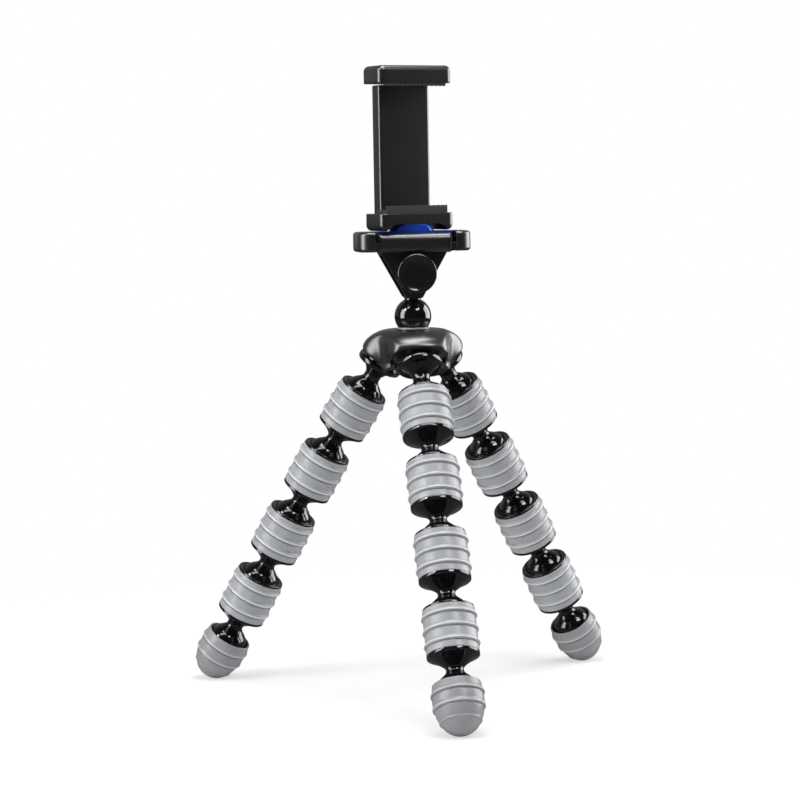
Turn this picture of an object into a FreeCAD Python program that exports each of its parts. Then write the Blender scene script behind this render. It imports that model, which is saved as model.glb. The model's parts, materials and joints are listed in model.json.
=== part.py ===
import FreeCAD, Part
import math
import os

# Flexible tripod: three jointed legs under a three-lobed hub, a ball head and a spring clamp.
# Millimetres. +Z is up, the floor is z = 0 and the front leg points along -Y.
# The origin is on the floor, under the middle of the stand's outer box.
# Leg pieces are drawn about their own socket's ball centre, with +Z up along the leg.
# Head pieces are drawn about the stand's axis, which is moved to its place at the end.

V = FreeCAD.Vector

# Legs: one pose of the stand, as lean from the vertical
LEG_ANGLES = (270.0, 150.0, 30.0)
LINK_LEANS = (33.1, 30.9, 30.1, 29.9)
FOOT_LEAN = 33.0
HUB_LEAN = 33.1

# Ball joint
BALL_PITCH = 35.8
BALL_R = 10.0
BALL_GAP = 0.15
NECK_R = 4.0
NECK_BORE_R = 1.8
MOUTH_RISE = 4.5
MOUTH_CHAMFER = 0.4

# Link shell and its rubber sleeve
RIM_H = 1.3
RIM_PROUD = 0.6
RIM_ROUND = 0.5
SOCKET_WALL = 0.85
SLEEVE_WALL = 0.9
SLEEVE_LEN = 20.6
FLANGE_H = 0.9
FLANGE_PROUD = 0.3
FLARE_H = 5.0
FLARE_MID_R = 6.5
FLARE_MID = 0.55
FLARE_FLOOR = 2.2
HOLLOW_R = 8.5

# Raised rings of the sleeves and boots, measured from the upper edge
RING_COUNT = 3
RING_FIRST = 3.5
RING_PITCH = 6.5
RING_HALF_W = 1.5
RING_PROUD = 0.75
TOE_RING_PROUD = 0.3
TOE_RING_R = 0.7

# Foot
FOOT_CORE_DEPTH = 14.0
FOOT_CORE_TOE_R = 5.0
FOOT_CORE_SIDE = 5.0
CORE_FIT = 0.05
TOE_CENTRE = 7.0
SOLE_CUT = 0.35
BOOT_LIP_H = 1.2
BOOT_LIP_ROUND = 1.0
BOOT_LIP_GAP = 0.5

# Hub, with heights above the root balls' centres
ROOT_RADIUS = 27.5
HUB_BOTTOM = 10.8
HUB_SEAM = 16.8
HUB_TOP = 31.5
HUB_FLAT_R = 13.0
HUB_SHOULDER_R = 14.0
HUB_REACH = 25.2
HUB_WALL = 2.4
HUB_SEAM_STEP = 0.6
HUB_FIT = 0.1
DRUM_R = 18.5
DRUM_ROUND = 5.0
HOOD_R = 14.5
HOOD_FACE = 21.5
HOOD_BORE_R = 12.0
GROOVE_DEPTH = 1.5

# Root balls, with places along the leg's axis from the ball's centre
ROOT_FLANGE_R = 10.3
ROOT_FLANGE_AT = 18.5
ROOT_FLANGE_H = 1.5
SHANK_R = 8.0
SHANK_END = 27.0

# Hub screws
SCREW_RING_R = 13.5
SCREW_R = 1.25
SCREW_HEAD_R = 2.3
SCREW_HEAD_H = 1.5
SCREW_BOSS_R = 2.8
SCREW_BOSS_GAP = 0.2
SCREW_BOSS_H = 5.5
SCREW_HEAD_SINK = 4.2
SCREW_TIP_COVER = 1.2
SCREW_SLOT_W = 0.7
SCREW_SLOT_DEPTH = 0.8

# Head ball and its swivel
HEAD_BALL_R = 8.7
HEAD_BALL_WALL = 2.3
HEAD_BALL_LIFT = 6.8
SEAT_R = 7.6
SEAT_RISE = 1.6
SEAT_GAP = 0.12
SEAT_EDGE_T = 0.3
WASHER_GAP = 0.1
WASHER_TOP = 2.9
TILT_LIMIT = 20.0
BOLT_R = 1.75
BOLT_GAP = 0.05
BOLT_HEAD_R = 3.0
BOLT_HEAD_H = 2.0
POCKET_R = 5.4
POCKET_ROOF = 3.8
POCKET_DEPTH = 10.0
NUT_R = 3.4
NUT_H = 2.6
DISC_SPRING_R = 4.6
DISC_SPRING_T = 0.6
DISC_SPRING_RISE = 0.5
DISC_SPRING_COUNT = 2

# Stem and yoke, with heights from the hinge bolt's axis
PIVOT_LIFT = 20.5
STEM_R = 3.85
STEM_SHANK_R = 3.2
STEM_SHANK_IN = 2.6
STEM_FOOT_H = 0.7
TONGUE_W = 7.4
TONGUE_T = 7.8
EYE_R = 7.5
YOKE_GAP = 0.1
YOKE_T = 14.0
YOKE_TOP = 10.1
YOKE_TOP_W = 31.8
YOKE_TIP_W = 7.6
YOKE_TIP_R = 12.2
YOKE_SLOT_CLEAR = 0.7
HINGE_BOLT_R = 2.5
HINGE_HEAD_R = 4.2
HINGE_HEAD_H = 2.5
HINGE_HEX_R = 2.3
HINGE_GAP = 0.05
KNOB_R = 9.3
KNOB_H = 8.2
KNOB_GAP = 0.3
KNOB_ROUND = 2.2
KNOB_BACK_BEVEL = 0.4
KNOB_WALL = 1.6
KNOB_DISH_R = 5.6
KNOB_DISH_DEPTH = 0.5

# Platform tray
TRAY_W = 53.6
TRAY_D = 26.4
TRAY_H = 9.4
TRAY_CORNER_R = 6.5
TRAY_ROUND = 1.6
TRAY_FLOOR = 1.6
TRAY_BACK_WALL = 3.0
SLOT_HALF_W = 19.2
FLOOR_FRONT = 7.4
PEG_R = 1.5
PEG_H = 2.0
PEG_SPREAD = 11.0
PEG_EDGE = 1.5

# Release button: a bar across the tray's front, guided by an ear at each end
BUTTON_GAP = 1.0
BUTTON_T = 2.8
BUTTON_SET_BACK = 0.8
BUTTON_DROP = 0.6
BUTTON_TOP_GAP = 0.8
BUTTON_BEVEL = 1.3
BUTTON_CORNER_R = 1.5
BUTTON_TRAVEL = 2.0
EAR_REACH = 3.0
EAR_H = 3.0
EAR_T = 1.4
EAR_UP = 3.2
EAR_GAP = 0.25
SPRING_R = 1.25
SPRING_BORE_GAP = 0.15
SPRING_LEN = 7.0
SPRING_WIRE = 0.4
SPRING_EASE = 0.1

# Camera plate, its pad and its screw
PLATE_GAP = 0.25
PLATE_H = 6.8
PLATE_SIDE_GAP = 0.85
PLATE_CORNER_R = 1.5
PAD_T = 0.8
PAD_DOME_R = 10.6
PAD_CROWN_R = 8.0
PAD_DOME_H = 3.3
CAMERA_SCREW_R = 3.175
CAMERA_SCREW_GAP = 0.06
CAMERA_SCREW_REACH = 4.6
CAMERA_HEAD_R = 6.4
CAMERA_HEAD_H = 2.4
CAMERA_HEAD_ROOM = 0.4
CAMERA_SLOT_W = 1.6

# Clamp, drawn with its jaws facing -Y and then turned about the stand's axis
CLAMP_ANGLE = 19.5
CLAMP_LIFT = 0.3
CLAMP_SEAT_GAP = 0.1
JAW_HALF_W = 19.4
JAW_FRONT = 7.3
JAW_BACK = 10.8
JAW_CORNER_R = 3.0
JAW_ROUND = 2.7
JAW_EDGE_ROUND = 0.5
LOWER_JAW_H = 8.1
UPPER_JAW_H = 8.3
JAW_GAP = 58.6
ARCH_HALF_W = 16.0
ARCH_SHAPE = 0.72
SPINE_HALF_W = 13.5
SPINE_FRONT = 4.6
SPINE_BACK = 12.4
SPINE_ROUND = 1.5
SPINE_TOP_GAP = 0.5
INSERT_R = 4.5
INSERT_H = 4.8
PAD_HALF_W = 16.0
PAD_FRONT = 6.6
PAD_BACK = 4.4
LOWER_PAD_T = 1.6
UPPER_PAD_T = 1.8
UPPER_PAD_PROUD = 0.3
LIP_T = 1.7
LOWER_LIP_H = 2.0
UPPER_LIP_H = 1.1
TOOTH_COUNT = 14
TOOTH_DEPTH = 0.7

# Clamp's guide rods and springs
ROD_SPREAD = 8.5
ROD_Y = 8.2
ROD_R = 1.7
ROD_GAP = 0.1
ROD_GRIP = 5.5
ROD_LEN = 54.0
ROD_FLANGE_R = 2.7
ROD_FLANGE_H = 2.0
CHAMBER_R = 2.9
CHAMBER_TOP = 7.0
CHAMBER_FLOOR_GAP = 2.0
CLAMP_SPRING_WALL = 0.6
CLAMP_SPRING_GAP = 0.2
COVER_T = 1.2
COVER_SIDE = 1.5
COVER_FIT = 0.1
COVER_OVERLAP = 1.2
COVER_SCREW_COUNT = 3
COVER_SCREW_R = 0.9
COVER_SCREW_HEAD_R = 1.8
COVER_SCREW_HEAD_H = 0.8
COVER_SCREW_LEN = 5.0
COVER_CROSS_W = 0.4
COVER_CROSS_DEPTH = 0.4

# Levels and radii that follow from the sizes above
CAVITY_R = BALL_R + BALL_GAP
SEAT_WALL_R = CAVITY_R + SOCKET_WALL
SLEEVE_R = SEAT_WALL_R + SLEEVE_WALL
RIM_R = SEAT_WALL_R + RIM_PROUD
FLANGE_R = SEAT_WALL_R + FLANGE_PROUD
MOUTH_R = math.sqrt(CAVITY_R ** 2 - MOUTH_RISE ** 2) + MOUTH_CHAMFER
SLEEVE_TOP = MOUTH_RISE - RIM_H
SLEEVE_BOTTOM = SLEEVE_TOP - SLEEVE_LEN
FLANGE_BOTTOM = SLEEVE_BOTTOM - FLANGE_H
FLARE_BOTTOM = FLANGE_BOTTOM - FLARE_H
TOE_R = SLEEVE_R
FOOT_DROP = TOE_CENTRE * math.cos(math.radians(FOOT_LEAN)) + TOE_R - SOLE_CUT
ROOT_Z = FOOT_DROP + BALL_PITCH * sum(math.cos(math.radians(a)) for a in LINK_LEANS)
HUB_TOP_Z = ROOT_Z + HUB_TOP
CORE_TOP_Z = HUB_TOP_Z - HUB_WALL
POCKET_TOP_Z = CORE_TOP_Z - POCKET_ROOF
BALL_Z = HUB_TOP_Z + HEAD_BALL_LIFT
HEAD_CAVITY_R = HEAD_BALL_R - HEAD_BALL_WALL
WASHER_R = HEAD_CAVITY_R - WASHER_GAP
BALL_FLAT = math.sqrt(HEAD_BALL_R ** 2 - STEM_R ** 2)
PIVOT_Z = BALL_Z + PIVOT_LIFT
TRAY_Z = PIVOT_Z + YOKE_TOP
TRAY_TOP_Z = TRAY_Z + TRAY_H
TRAY_FRONT = TRAY_D / 2
POCKET_BACK = TRAY_FRONT - TRAY_BACK_WALL
FLOOR_TOP_Z = TRAY_Z + TRAY_FLOOR
BUTTON_FRONT = TRAY_FRONT - BUTTON_SET_BACK
BUTTON_BACK = BUTTON_FRONT - BUTTON_T
BUTTON_HALF_W = SLOT_HALF_W - BUTTON_GAP
EAR_Z = TRAY_Z + EAR_UP
EAR_X = SLOT_HALF_W + EAR_REACH / 2
PLATE_Z = FLOOR_TOP_Z + PLATE_GAP
PLATE_TOP_Z = PLATE_Z + PLATE_H
PAD_TOP_Z = PLATE_TOP_Z + PAD_T
CROWN_Z = PAD_TOP_Z + PAD_DOME_H
CLAMP_Z = max(TRAY_TOP_Z, PAD_TOP_Z) + CLAMP_LIFT
CLAMP_SEAT_Z = CROWN_Z + CLAMP_SEAT_GAP
LOWER_JAW_TOP_Z = CLAMP_Z + LOWER_JAW_H
GAP_LOW_Z = LOWER_JAW_TOP_Z + LOWER_PAD_T
GAP_HIGH_Z = GAP_LOW_Z + JAW_GAP
UPPER_JAW_Z = GAP_HIGH_Z + UPPER_PAD_PROUD
SPINE_TOP_Z = UPPER_JAW_Z - SPINE_TOP_GAP
ROD_TOP_Z = UPPER_JAW_Z + ROD_GRIP
ROD_BOTTOM_Z = ROD_TOP_Z - ROD_LEN
CHAMBER_TOP_Z = SPINE_TOP_Z - CHAMBER_TOP
CHAMBER_BOTTOM_Z = ROD_BOTTOM_Z - CHAMBER_FLOOR_GAP
COVER_FACE_Y = SPINE_BACK - COVER_T


def xz(point):
    """Point of a drawn section: radius or x first, height second."""
    return V(point[0], 0, point[1])


def closed_wire(start, steps):
    """Wire in the XZ plane. A step is the next corner, or an arc as (point on the way, end)."""
    edges = []
    here = start
    for step in steps:
        if isinstance(step[0], tuple):
            edges.append(Part.Arc(xz(here), xz(step[0]), xz(step[1])).toShape())
            here = step[1]
        else:
            edges.append(Part.makeLine(xz(here), xz(step)))
            here = step
    if math.dist(here, start) > 1e-6:
        edges.append(Part.makeLine(xz(here), xz(start)))
    return Part.Wire(edges)


def turned(start, steps):
    """Solid of revolution about Z."""
    return Part.Face(closed_wire(start, steps)).revolve(V(0, 0, 0), V(0, 0, 1), 360)


def plate_y(start, steps, y0, y1):
    """Section in the XZ plane, extruded from y0 to y1."""
    face = Part.Face(closed_wire(start, steps))
    face.translate(V(0, y0, 0))
    return face.extrude(V(0, y1 - y0, 0))


def box(x0, x1, y0, y1, z0, z1):
    return Part.makeBox(x1 - x0, y1 - y0, z1 - z0, V(x0, y0, z0))


def rod_z(radius, z0, z1, x=0.0, y=0.0):
    return Part.makeCylinder(radius, z1 - z0, V(x, y, z0))


def rod_y(radius, y0, y1, x=0.0, z=0.0):
    return Part.makeCylinder(radius, y1 - y0, V(x, y0, z), V(0, 1, 0))


def ring_z(outer, inner, z0, z1, x=0.0, y=0.0):
    return rod_z(outer, z0, z1, x, y).cut(rod_z(inner, z0, z1, x, y))


def rounded_block(x0, x1, y0, y1, z0, z1, corner, low_edge, high_edge):
    """Box with rounded upright corners and smaller rounds along its bottom and top edges."""
    block = box(x0, x1, y0, y1, z0, z1)
    upright = [e for e in block.Edges if abs(e.Length - (z1 - z0)) < 1e-6 and is_upright(e)]
    block = block.makeFillet(corner, upright)
    block = block.makeFillet(low_edge, [e for e in block.Edges if is_level(e, z0)])
    return block.makeFillet(high_edge, [e for e in block.Edges if is_level(e, z1)])


def is_upright(edge):
    first, last = edge.Vertexes[0].Point, edge.Vertexes[-1].Point
    return abs(first.x - last.x) < 1e-6 and abs(first.y - last.y) < 1e-6


def is_level(edge, z):
    box_of_edge = edge.BoundBox
    return abs(box_of_edge.ZMin - z) < 1e-6 and abs(box_of_edge.ZMax - z) < 1e-6


def sphere_height(radius, r):
    """Height above a sphere's centre of the circle of radius r on it."""
    return math.sqrt(radius ** 2 - r ** 2)


def on_sphere(radius, centre_z, degrees_up):
    """Point of a sphere's section, its angle counted up from the level through the centre."""
    a = math.radians(degrees_up)
    return (radius * math.cos(a), centre_z + radius * math.sin(a))


def elevation(r, z):
    return math.degrees(math.atan2(z, r))


def on_leg(shape, angle, radius, z, lean):
    """Copy of a leg piece at a ball centre, leaning in towards the stand's axis."""
    lean_in = FreeCAD.Placement(V(radius, 0, z), FreeCAD.Rotation(V(0, 1, 0), -lean))
    around = FreeCAD.Placement(V(0, 0, 0), FreeCAD.Rotation(V(0, 0, 1), angle))
    copy = shape.copy()
    copy.Placement = around.multiply(lean_in)
    return copy


def around_axis(shape, angle):
    copy = shape.copy()
    copy.rotate(V(0, 0, 0), V(0, 0, 1), angle)
    return copy


def three_of(shape, first_angle):
    return [around_axis(shape, first_angle + 120.0 * k) for k in range(3)]


# Leg pieces

def neck_and_ball(ball_z):
    """Steps down a neck, round the ball and into the bore along the ball's axis."""
    top = elevation(NECK_R, sphere_height(BALL_R, NECK_R))
    low = -elevation(NECK_BORE_R, sphere_height(BALL_R, NECK_BORE_R))
    return [
        on_sphere(BALL_R, ball_z, top),
        (on_sphere(BALL_R, ball_z, (top + low) / 2), on_sphere(BALL_R, ball_z, low)),
    ]


def link_shell():
    """Cup with a rim, a recess for the sleeve, a flared underside, a neck and the next ball."""
    hollow_top = -sphere_height(CAVITY_R, HOLLOW_R)
    chamfer_z = MOUTH_RISE - MOUTH_CHAMFER
    cavity_low = elevation(HOLLOW_R, hollow_top)
    cavity_high = elevation(sphere_height(CAVITY_R, chamfer_z), chamfer_z)
    start = (MOUTH_R, MOUTH_RISE)
    steps = [
        (RIM_R - RIM_ROUND, MOUTH_RISE),
        (
            (RIM_R - RIM_ROUND * (1 - math.sqrt(0.5)), MOUTH_RISE - RIM_ROUND * (1 - math.sqrt(0.5))),
            (RIM_R, MOUTH_RISE - RIM_ROUND),
        ),
        (RIM_R, SLEEVE_TOP),
        (SEAT_WALL_R, SLEEVE_TOP),
        (SEAT_WALL_R, SLEEVE_BOTTOM),
        (FLANGE_R, SLEEVE_BOTTOM),
        (FLANGE_R, FLANGE_BOTTOM),
        ((FLARE_MID_R, FLANGE_BOTTOM - FLARE_H * FLARE_MID), (NECK_R, FLARE_BOTTOM)),
    ]
    steps += neck_and_ball(-BALL_PITCH)
    steps += [
        (NECK_BORE_R, FLARE_BOTTOM + FLARE_FLOOR),
        (HOLLOW_R, FLANGE_BOTTOM + FLARE_FLOOR),
        (HOLLOW_R, hollow_top),
        (on_sphere(CAVITY_R, 0, (cavity_low + cavity_high) / 2), on_sphere(CAVITY_R, 0, cavity_high)),
    ]
    return turned(start, steps)


def ring_heights():
    return [SLEEVE_TOP - RING_FIRST - RING_PITCH * k for k in range(RING_COUNT)]


def ring_steps(heights, wall_r):
    """Steps down a straight wall with a raised ring at each height."""
    steps = []
    for z in heights:
        steps += [
            (wall_r, z + RING_HALF_W),
            ((wall_r + RING_PROUD, z), (wall_r, z - RING_HALF_W)),
        ]
    return steps


def link_sleeve():
    """Rubber sleeve with raised rings, seated between the rim and the lower flange."""
    heights = ring_heights()
    steps = [(SLEEVE_R, SLEEVE_TOP)] + ring_steps(heights, SLEEVE_R)
    steps += [(SLEEVE_R, SLEEVE_BOTTOM), (SEAT_WALL_R, SLEEVE_BOTTOM)]
    return turned((SEAT_WALL_R, SLEEVE_TOP), steps)


def foot_core():
    """Closed cup for the last ball."""
    lip_z = MOUTH_RISE - BOOT_LIP_H
    inner_r = sphere_height(CAVITY_R, lip_z)
    bend = math.sqrt(0.5)
    side_r = SEAT_WALL_R
    corner_r = side_r - FOOT_CORE_TOE_R
    corner_h = FOOT_CORE_DEPTH - FOOT_CORE_SIDE
    steps = [
        (side_r, lip_z),
        (side_r, -FOOT_CORE_SIDE),
        (
            (FOOT_CORE_TOE_R + corner_r * bend, -FOOT_CORE_SIDE - corner_h * bend),
            (FOOT_CORE_TOE_R, -FOOT_CORE_DEPTH),
        ),
        (0.0, -FOOT_CORE_DEPTH),
        (0.0, -CAVITY_R),
        (on_sphere(CAVITY_R, 0, -30.0), (inner_r, lip_z)),
    ]
    return turned((inner_r, lip_z), steps)


def foot_boot():
    """Egg-shaped rubber boot over the foot's core, with raised rings and a small flat sole."""
    bend = math.sqrt(0.5)
    lip_z = MOUTH_RISE - BOOT_LIP_H
    lip_r = sphere_height(CAVITY_R, lip_z) + BOOT_LIP_GAP
    round_r = BOOT_LIP_ROUND
    room_r, room_end = SEAT_WALL_R + CORE_FIT, FOOT_CORE_DEPTH + CORE_FIT
    corner_r, corner_h = room_r - FOOT_CORE_TOE_R, room_end - FOOT_CORE_SIDE
    heights = ring_heights()
    start = (lip_r, MOUTH_RISE)
    steps = [
        (SLEEVE_R - round_r, MOUTH_RISE),
        (
            (SLEEVE_R - round_r * (1 - bend), MOUTH_RISE - round_r * (1 - bend)),
            (SLEEVE_R, MOUTH_RISE - round_r),
        ),
    ]
    steps += ring_steps([z for z in heights if z - RING_HALF_W > -TOE_CENTRE], SLEEVE_R)
    steps += [
        (SLEEVE_R, -TOE_CENTRE),
        (on_sphere(TOE_R, -TOE_CENTRE, -45.0), (0.0, -TOE_CENTRE - TOE_R)),
        (0.0, -room_end),
        (FOOT_CORE_TOE_R, -room_end),
        (
            (FOOT_CORE_TOE_R + corner_r * bend, -FOOT_CORE_SIDE - corner_h * bend),
            (room_r, -FOOT_CORE_SIDE),
        ),
        (room_r, lip_z),
        (lip_r, lip_z),
    ]
    boot = turned(start, steps)
    for z in heights:
        if z - RING_HALF_W <= -TOE_CENTRE:
            boot = boot.fuse(toe_ring(z))
    return boot.cut(below_sole())


def toe_ring(z):
    """Raised ring on the round toe, as a band of a slightly larger sphere's slope."""
    out_r = sphere_height(TOE_R, min(z + TOE_CENTRE, 0.0))
    return Part.makeTorus(out_r - TOE_RING_R + TOE_RING_PROUD, TOE_RING_R, V(0, 0, z), V(0, 0, 1))


def below_sole():
    """Everything under the floor, in the foot's own axes."""
    reach = 4 * TOE_R
    block = box(-reach, reach, -reach, reach, -reach, 0)
    block.translate(V(0, 0, -FOOT_DROP))
    block.rotate(V(0, 0, 0), V(0, 1, 0), FOOT_LEAN)
    return block


def root_ball():
    """Ball, neck and flared flange at the top of a leg, with a shank that the hub holds."""
    top = elevation(NECK_R, sphere_height(BALL_R, NECK_R))
    flange_top = ROOT_FLANGE_AT + ROOT_FLANGE_H
    flare_mid = (FLARE_MID_R, ROOT_FLANGE_AT - FLARE_H * (1 - FLARE_MID))
    steps = [
        (on_sphere(BALL_R, 0, (top - 90.0) / 2), on_sphere(BALL_R, 0, top)),
        (NECK_R, ROOT_FLANGE_AT - FLARE_H),
        (flare_mid, (ROOT_FLANGE_R, ROOT_FLANGE_AT)),
        (ROOT_FLANGE_R, flange_top),
        (SHANK_R, flange_top),
        (SHANK_R, SHANK_END),
        (0.0, SHANK_END),
    ]
    return turned((0.0, -BALL_R), steps)


# Hub

def leg_rod(radius, start, end):
    """Cylinder along the root axis of the leg that points along +X."""
    rod = rod_z(radius, start, end)
    return on_leg(rod, 0.0, ROOT_RADIUS, ROOT_Z, HUB_LEAN)


def below_face(distance):
    """Space on the leg's side of a plane square to the root axis."""
    reach = 4 * DRUM_R
    block = box(-reach, reach, -reach, reach, distance - reach, distance)
    return on_leg(block, 0.0, ROOT_RADIUS, ROOT_Z, HUB_LEAN)


def hub_form(inset):
    """Three leaning hoods and a round drum under one domed top, drawn in by an inset."""
    low = ROOT_Z + HUB_BOTTOM
    top = HUB_TOP_Z - inset
    far = HUB_REACH - inset
    bend = math.sqrt(0.5)
    shoulder = HUB_SHOULDER_R - inset
    centre_z = HUB_TOP_Z - HUB_SHOULDER_R
    edge_z = centre_z + sphere_height(shoulder, far - HUB_FLAT_R)
    mid = math.radians((90.0 + elevation(far - HUB_FLAT_R, edge_z - centre_z)) / 2)
    dome = turned((0.0, low), [
        (far, low),
        (far, edge_z),
        (
            (HUB_FLAT_R + shoulder * math.cos(mid), centre_z + shoulder * math.sin(mid)),
            (HUB_FLAT_R, top),
        ),
        (0.0, top),
    ])
    drum_r = DRUM_R - inset
    drum_round = DRUM_ROUND - inset
    drum_flat = DRUM_R - DRUM_ROUND
    drum = turned((0.0, low), [
        (drum_r, low),
        (drum_r, top - drum_round),
        ((drum_flat + drum_round * bend, top - drum_round * (1 - bend)), (drum_flat, top)),
        (0.0, top),
    ])
    hoods = three_of(leg_rod(HOOD_R - inset, HOOD_FACE, 3 * HOOD_FACE), LEG_ANGLES[0])
    lobes = hoods[0].multiFuse(hoods[1:]).common(dome)
    return lobes.fuse(drum).removeSplitter()


def cut_all(shape, tools):
    for tool in tools:
        shape = shape.cut(tool)
    return shape


def screw_angles():
    return [LEG_ANGLES[0] + 60.0 + 120.0 * k for k in range(3)]


def on_screw_ring(shape):
    """A hub screw's piece, moved out to the screw circle and copied between the legs."""
    moved = shape.copy()
    moved.translate(V(SCREW_RING_R, 0, 0))
    return [around_axis(moved, angle) for angle in screw_angles()]


def screw_head_z():
    return ROOT_Z + HUB_BOTTOM + SCREW_HEAD_SINK


def hub_cover():
    """Domed shell with three hooded openings, a hole for the seat and three screw bosses."""
    reach = 4 * DRUM_R
    seam_z = ROOT_Z + HUB_SEAM
    above = box(-reach, reach, -reach, reach, seam_z, HUB_TOP_Z + reach)
    shell = hub_form(0.0).common(above).cut(hub_form(HUB_WALL))
    boss = rod_z(SCREW_BOSS_R, CORE_TOP_Z - SCREW_BOSS_H, HUB_TOP_Z - HUB_WALL / 2)
    inside = hub_form(HUB_WALL / 2)
    bosses = [b.common(inside) for b in on_screw_ring(boss)]
    shell = shell.multiFuse(bosses)
    shell = shell.cut(rod_z(SEAT_R, CORE_TOP_Z - 1.0, HUB_TOP_Z + 1.0))
    pilot_top = HUB_TOP_Z - SCREW_TIP_COVER
    pilots = on_screw_ring(rod_z(SCREW_R, CORE_TOP_Z - SCREW_BOSS_H - 1.0, pilot_top))
    shell = cut_all(shell, pilots)
    shell = cut_all(shell, three_of(below_face(HOOD_FACE), LEG_ANGLES[0]))
    return shell.removeSplitter()


def hub_base():
    """Core that holds the three shanks, the seat and the screws, closed by a faceted underside."""
    reach = 4 * DRUM_R
    seam_z = ROOT_Z + HUB_SEAM
    below = box(-reach, reach, -reach, reach, 0, seam_z)
    core = hub_form(HUB_WALL + HUB_FIT)
    core = cut_all(core, three_of(below_face(HOOD_FACE + GROOVE_DEPTH), LEG_ANGLES[0]))
    foot = hub_form(HUB_SEAM_STEP).common(below)
    foot = cut_all(foot, three_of(below_face(HOOD_FACE), LEG_ANGLES[0]))
    base = core.fuse(foot)
    face_at = HOOD_FACE + GROOVE_DEPTH
    base = cut_all(base, three_of(leg_rod(HOOD_BORE_R, HOOD_FACE - 1.0, face_at), LEG_ANGLES[0]))
    base = cut_all(base, three_of(leg_rod(SHANK_R, HOOD_FACE - 1.0, SHANK_END), LEG_ANGLES[0]))
    base = base.cut(rod_z(POCKET_R, POCKET_TOP_Z - POCKET_DEPTH, POCKET_TOP_Z))
    base = base.cut(rod_z(BOLT_R + BOLT_GAP, POCKET_TOP_Z - 1.0, CORE_TOP_Z + 1.0))
    room = rod_z(SCREW_BOSS_R + SCREW_BOSS_GAP, CORE_TOP_Z - SCREW_BOSS_H - SCREW_BOSS_GAP, HUB_TOP_Z)
    base = cut_all(base, on_screw_ring(room))
    head_z = screw_head_z()
    base = cut_all(base, on_screw_ring(rod_z(SCREW_R, head_z - 1.0, HUB_TOP_Z)))
    base = cut_all(base, on_screw_ring(rod_z(SCREW_HEAD_R + SCREW_BOSS_GAP, 0, head_z)))
    return base.removeSplitter()


def hub_screws():
    """Three self-tapping screws from the underside into the cover's bosses."""
    head_z = screw_head_z()
    tip_z = HUB_TOP_Z - SCREW_TIP_COVER
    screw = rod_z(SCREW_HEAD_R, head_z - SCREW_HEAD_H, head_z).fuse(rod_z(SCREW_R, head_z, tip_z))
    low, half = head_z - SCREW_HEAD_H, SCREW_SLOT_W / 2
    slot = box(-SCREW_HEAD_R, SCREW_HEAD_R, -half, half, low, low + SCREW_SLOT_DEPTH)
    return Part.makeCompound(on_screw_ring(screw.cut(slot)))


def ball_seat():
    """Dished ring in the cover's top that the head ball turns in."""
    seat_r = HEAD_BALL_R + SEAT_GAP
    top_z = HUB_TOP_Z + SEAT_RISE
    edge_r = sphere_height(seat_r, BALL_Z - top_z)
    hole_r = BOLT_R + 4 * BOLT_GAP
    low_angle = -elevation(hole_r, sphere_height(seat_r, hole_r))
    top_angle = elevation(edge_r, top_z - BALL_Z)
    return turned((hole_r, CORE_TOP_Z), [
        (SEAT_R, CORE_TOP_Z),
        (SEAT_R, HUB_TOP_Z + SEAT_RISE * 0.4),
        (edge_r + SEAT_EDGE_T, top_z),
        (edge_r, top_z),
        (on_sphere(seat_r, BALL_Z, (low_angle + top_angle) / 2), on_sphere(seat_r, BALL_Z, low_angle)),
    ])


# Swivel inside the ball and the hub

def swivel_bolt():
    """Bolt that draws the ball into its seat, with its nut."""
    head_z = BALL_Z - WASHER_TOP
    nut_top = POCKET_TOP_Z - disc_stack() - BOLT_GAP
    shank = rod_z(BOLT_R, nut_top - NUT_H, head_z)
    head = rod_z(BOLT_HEAD_R, head_z, head_z + BOLT_HEAD_H)
    hexagon = Part.makePolygon([
        V(NUT_R * math.cos(math.radians(60 * k)), NUT_R * math.sin(math.radians(60 * k)), nut_top - NUT_H)
        for k in range(7)
    ])
    nut = Part.Face(hexagon).extrude(V(0, 0, NUT_H))
    return shank.multiFuse([head, nut]).removeSplitter()


def disc_stack():
    return DISC_SPRING_COUNT * (DISC_SPRING_T + DISC_SPRING_RISE)


def swivel_washer():
    """Domed washer under the bolt's head, turning against the inside of the ball."""
    edge_r = sphere_height(WASHER_R, WASHER_TOP)
    hole_r = BOLT_R + BOLT_GAP
    low = -elevation(hole_r, sphere_height(WASHER_R, hole_r))
    high = -elevation(edge_r, WASHER_TOP)
    return turned((hole_r, BALL_Z - WASHER_TOP), [
        (edge_r, BALL_Z - WASHER_TOP),
        (on_sphere(WASHER_R, BALL_Z, (low + high) / 2), on_sphere(WASHER_R, BALL_Z, low)),
    ])


def spring_washers():
    """Two coned disc springs back to back above the nut."""
    discs = []
    inner = BOLT_R + BOLT_GAP
    step = DISC_SPRING_T + DISC_SPRING_RISE
    for k in range(DISC_SPRING_COUNT):
        top = POCKET_TOP_Z - BOLT_GAP - k * step
        drop_in = DISC_SPRING_RISE if k % 2 else 0.0
        drop_out = DISC_SPRING_RISE - drop_in
        discs.append(turned((inner, top - drop_in), [
            (DISC_SPRING_R, top - drop_out),
            (DISC_SPRING_R, top - drop_out - DISC_SPRING_T),
            (inner, top - drop_in - DISC_SPRING_T),
        ]))
    return Part.makeCompound(discs)


# Head ball and stem

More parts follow.
